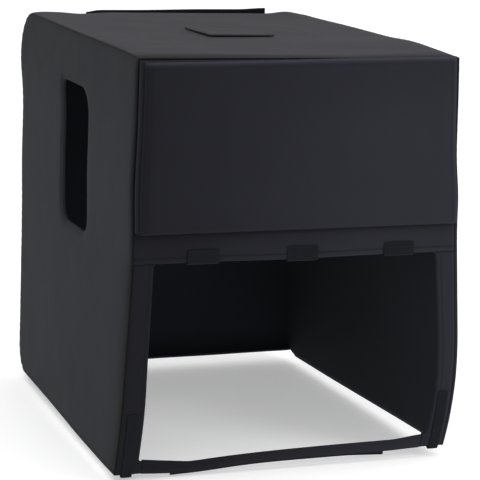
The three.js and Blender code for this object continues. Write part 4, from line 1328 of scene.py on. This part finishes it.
def wrapped_tape(name, centre_x, width, middle, hung, top_z, edge_z, back_z, hang):
    """Tape down the face, round the edge and up behind. middle(z) gives the y of the wrapped cloth's middle
    and hung(z) how that cloth hangs. The tape hangs below the edge by hang."""
    radius = WRAP_RADIUS

    def offset(z, side):
        slope = (middle(z + 1) - middle(z - 1)) / 2
        length = np.sqrt(1 + slope ** 2)
        return middle(z) - side * radius / length, z + side * radius * slope / length

    down_y = float(middle(np.array(edge_z - 1.0)) - middle(np.array(edge_z + 1.0))) / 2
    down = np.array([down_y, -1.0]) / math.hypot(down_y, 1)

    def place(a, t, inset):
        """t is 0 to 1 down the face, to 2 round the edge and to 3 up behind."""
        top = top_z - nose(width * (0.5 - np.abs(a)), TAB_CORNER)
        front = offset(lerp(top, edge_z, np.clip(t, 0, 1)), 1)
        back = offset(lerp(edge_z, back_z, np.clip(t - 2, 0, 1)), -1)
        angle = np.clip(t - 1, 0, 1) * math.pi
        out, low = radius * np.cos(angle), hang * np.sin(angle)
        around = (middle(np.array(edge_z)) + out * down[1] + low * down[0],
                  edge_z - out * down[0] + low * down[1])
        y, z = (np.where(t <= 1, f, np.where(t >= 2, b, r)) for f, b, r in zip(front, back, around))
        return np.stack([centre_x + width * a, y, hung(z)], -1)

    leg = top_z - edge_z

    def edge(a, t, points):
        return np.minimum(width * (0.5 - np.abs(a)), np.minimum(t * leg, (3 - t) * abs(back_z - edge_z)))

    def relief(a, t, points):
        from_edge = edge(a, t, points)
        sewn_in = TAPE_GROOVE.depth * fall(from_edge - TAPE_HEM, TAPE_GROOVE.width)
        return uneven("tape", a * width, t * leg) * rise(from_edge, 1.5) - sewn_in

    def painted_light_and_tone(a, t, points):
        return TAPE_TONE.face * (1 + TAPE_TONE.rim * fall(edge(a, t, points), TAPE_TONE.rim_length))

    cloth = Cloth(place, relief, (0, 0, -1), ((-0.5, 0.5), (0, 3)), TAPE, edge, painted_light_and_tone)
    columns = stations(-0.5, 0.5, 1.5 / width, (-0.5, -0.5 + 1.5 / width, 0.3 / width),
                       (0.5 - 1.5 / width, 0.5, 0.3 / width))
    rows = np.concatenate([stations(0, leg, 1.5, (0, 1.5, 0.3)) / leg, 1 + np.linspace(0, 1, 17)[1:-1],
                           2 + stations(0, 1, 0.1, (0.95, 1, 0.02))])
    piece = grid_piece(name, cloth, columns, rows, (width, leg), "tape")
    t = np.linspace(TAPE_HEM / leg, 1, 50)
    a_edge = 0.5 - TAPE_HEM / width
    top = np.linspace(-a_edge, a_edge, 30)
    runs = [run(cloth, -a_edge, t), run(cloth, a_edge, t), run(cloth, top, TAPE_HEM / leg)]
    sewn = thread(name + "_stitches", runs, TAPE_STITCH_RADIUS)


def hook_strip():
    left, right = HOOK_STRIP.left, HOOK_STRIP.right
    length, height = HOOK_STRIP.flat_length, HOOK_STRIP.flat_height
    behind = FOAM + HOOK_CLEARANCE + TAPE

    def span(a):
        x = lerp(left, right, a)
        tips = fall(x - left, HOOK_STRIP.tip_length) + fall(x - right, HOOK_STRIP.tip_length)
        right_end = smooth((x - HOOK_STRIP.right_drop_x) / STRIP.rise_length)
        low = strip_low(x) - HOOK_STRIP.below_strip - HOOK_STRIP.right_drop * right_end
        return x, low - HOOK_STRIP.tip_drop * tips, strip_top(x) - HOOK_STRIP.below_top

    def place(a, t, inset):
        x, low, high = span(a)
        z = lerp(low, high, t)
        return np.stack([x, FRONT_Y + setback(z) + behind, z], -1)

    def edge(a, t, points):
        x, low, high = span(a)
        return np.minimum((high - low) * np.minimum(t, 1 - t), np.minimum(x - left, right - x))

    def relief(a, t, points):
        return uneven("hook_strip", a * length, t * height) * rise(edge(a, t, points), 1.5)

    cloth = Cloth(place, relief, (0, 1, 0), ((0, 1), (0, 1)), TAPE, edge)
    columns, rows = fine_ends(length, 3, 1.5, 0.3), fine_ends(height, 1.2, 1.5, 0.3)
    piece = grid_piece("bottom_hook_strip", cloth, columns, rows, (length, height), "tape")


# Flap over the pole socket and flap on the back

def pole_flap():
    size, depth = 2 * POLE_FLAP.half, POLE_FLAP.depth

    def place(a, t, inset):
        x = POLE_FLAP.x + size * (a - 0.5)
        y = POLE_FLAP.near + depth * t
        raised = POLE_FLAP.lift * (1 - smooth(t)) * (1 - POLE_FLAP.lift_left * a)
        on_top = top_seam_z(x, y) + top_relief(x, y, BODY_HALF_WIDTH - np.abs(x))
        return np.stack([x, y, on_top + CLEARANCE + POLE_FLAP.thickness + raised], -1)

    def edge(a, t, points):
        return np.minimum(size * np.minimum(a, 1 - a), depth * np.minimum(t, 1 - t))

    def relief(a, t, points):
        from_edge = edge(a, t, points)
        sewn_in = POLE_GROOVE.depth * fall(from_edge - POLE_FLAP_HEM, POLE_GROOVE.width)
        return uneven("pole_flap", a * size, t * depth) * rise(from_edge, 6) - sewn_in

    cloth = Cloth(place, relief, (0, 0, 1), ((0, 1), (0, 1)), POLE_FLAP.thickness, edge)
    columns, rows = fine_ends(size, 3, 3, 0.5), fine_ends(depth, 3, 3, 0.5)
    piece = grid_piece("pole_flap", cloth, columns, rows, (size, depth), "top_cloth")
    runs = runs_round(cloth, POLE_FLAP_HEM / size, POLE_FLAP_HEM / depth, 40)
    sewn = thread("pole_flap_stitches", runs)


def rear_flap():
    left, right = REAR_FLAP.left, REAR_FLAP.right
    wide = right - left

    def span(a):
        x = lerp(left, right, a)
        high = REAR_FLAP.top + REAR_FLAP.right_rise * smooth((x - REAR_FLAP.rise_x) / REAR_FLAP.rise_length)
        high = high + REAR_FLAP.tip_rise * smooth(1 - (right - x) / REAR_FLAP.tip_length)
        return REAR_FLAP.low, high - REAR_FLAP.corner_drop * fall(x - left, REAR_FLAP.corner_length)

    def place(a, t, inset):
        low, high = span(a)
        y = REAR_Y + PAD_RISE + CLEARANCE + REAR_FLAP.thickness
        return np.stack([lerp(left, right, a), np.full(np.shape(a), y), lerp(low, high, t)], -1)

    def edge(a, t, points):
        low, high = span(a)
        return np.minimum(wide * np.minimum(a, 1 - a), (high - low) * np.minimum(t, 1 - t))

    def relief(a, t, points):
        x, z = points[..., 0], points[..., 2]
        from_edge = edge(a, t, points)
        crown = REAR_FLAP.crown * np.sin(math.pi * a) * np.sin(math.pi * t)
        return crown + uneven("rear_flap", x, z) * rise(from_edge, 12) + groove(from_edge - HEM_WIDTH)

    # Painted shade: the lining faces the body and shows above the top in shade, so it is painted darker.
    cloth = Cloth(place, relief, (0, 1, 0), ((0, 1), (0, 1)), REAR_FLAP.thickness, edge,
                  lining_painted_shade=REAR_FLAP_LINING_PAINTED_SHADE)
    columns = stations(0, wide, GRID, *edge_zones(0, wide, True)) / wide
    tall = REAR_FLAP.top - REAR_FLAP.low
    rows = stations(0, tall, GRID, *edge_zones(0, tall, True)) / tall
    piece = grid_piece("rear_flap", cloth, columns, rows, (wide, tall), "side_cloth")
    runs = runs_round(cloth, HEM_WIDTH / wide, HEM_WIDTH / tall, 110)
    sewn = thread("rear_flap_stitches", runs)


side_panel(-1, "left_side_panel")
side_panel(1, "right_side_panel")
top_panel()
back_panel()
front_header()
front_post(-1, "front_post_left")
front_post(1, "front_post_right")
front_bottom_strip()
front_flap()
for k, word in enumerate(("left", "middle", "right")):
    tab_x = TAB_MIDDLE_X + (k - 1) * TAB_PITCH
    edge_z = HEADER_Z - header_sag(tab_x) + WRAP_LIFT
    wrapped_tape("header_tab_" + word, tab_x, TAB_WIDTH, lambda z: FRONT_Y + WRAP_MIDDLE + 0 * z,
                 lambda z: z, TAB_TOP_Z, edge_z, TAB_BACK_Z, TAB_HANG)
for side, word in ((-1, "left"), (1, "right")):
    wrapped_tape("post_strap_" + word, side * STRAP_X, STRAP_WIDTH,
                 lambda z: FRONT_Y + setback(z) + WRAP_MIDDLE, lambda z: hung_z(side, FRONT_Y, z),
                 STRAP_TOP_Z[side], HEM_Z + WRAP_LIFT, STRAP_BACK_Z, STRAP_HANG)
hook_strip()
pole_flap()
rear_flap()
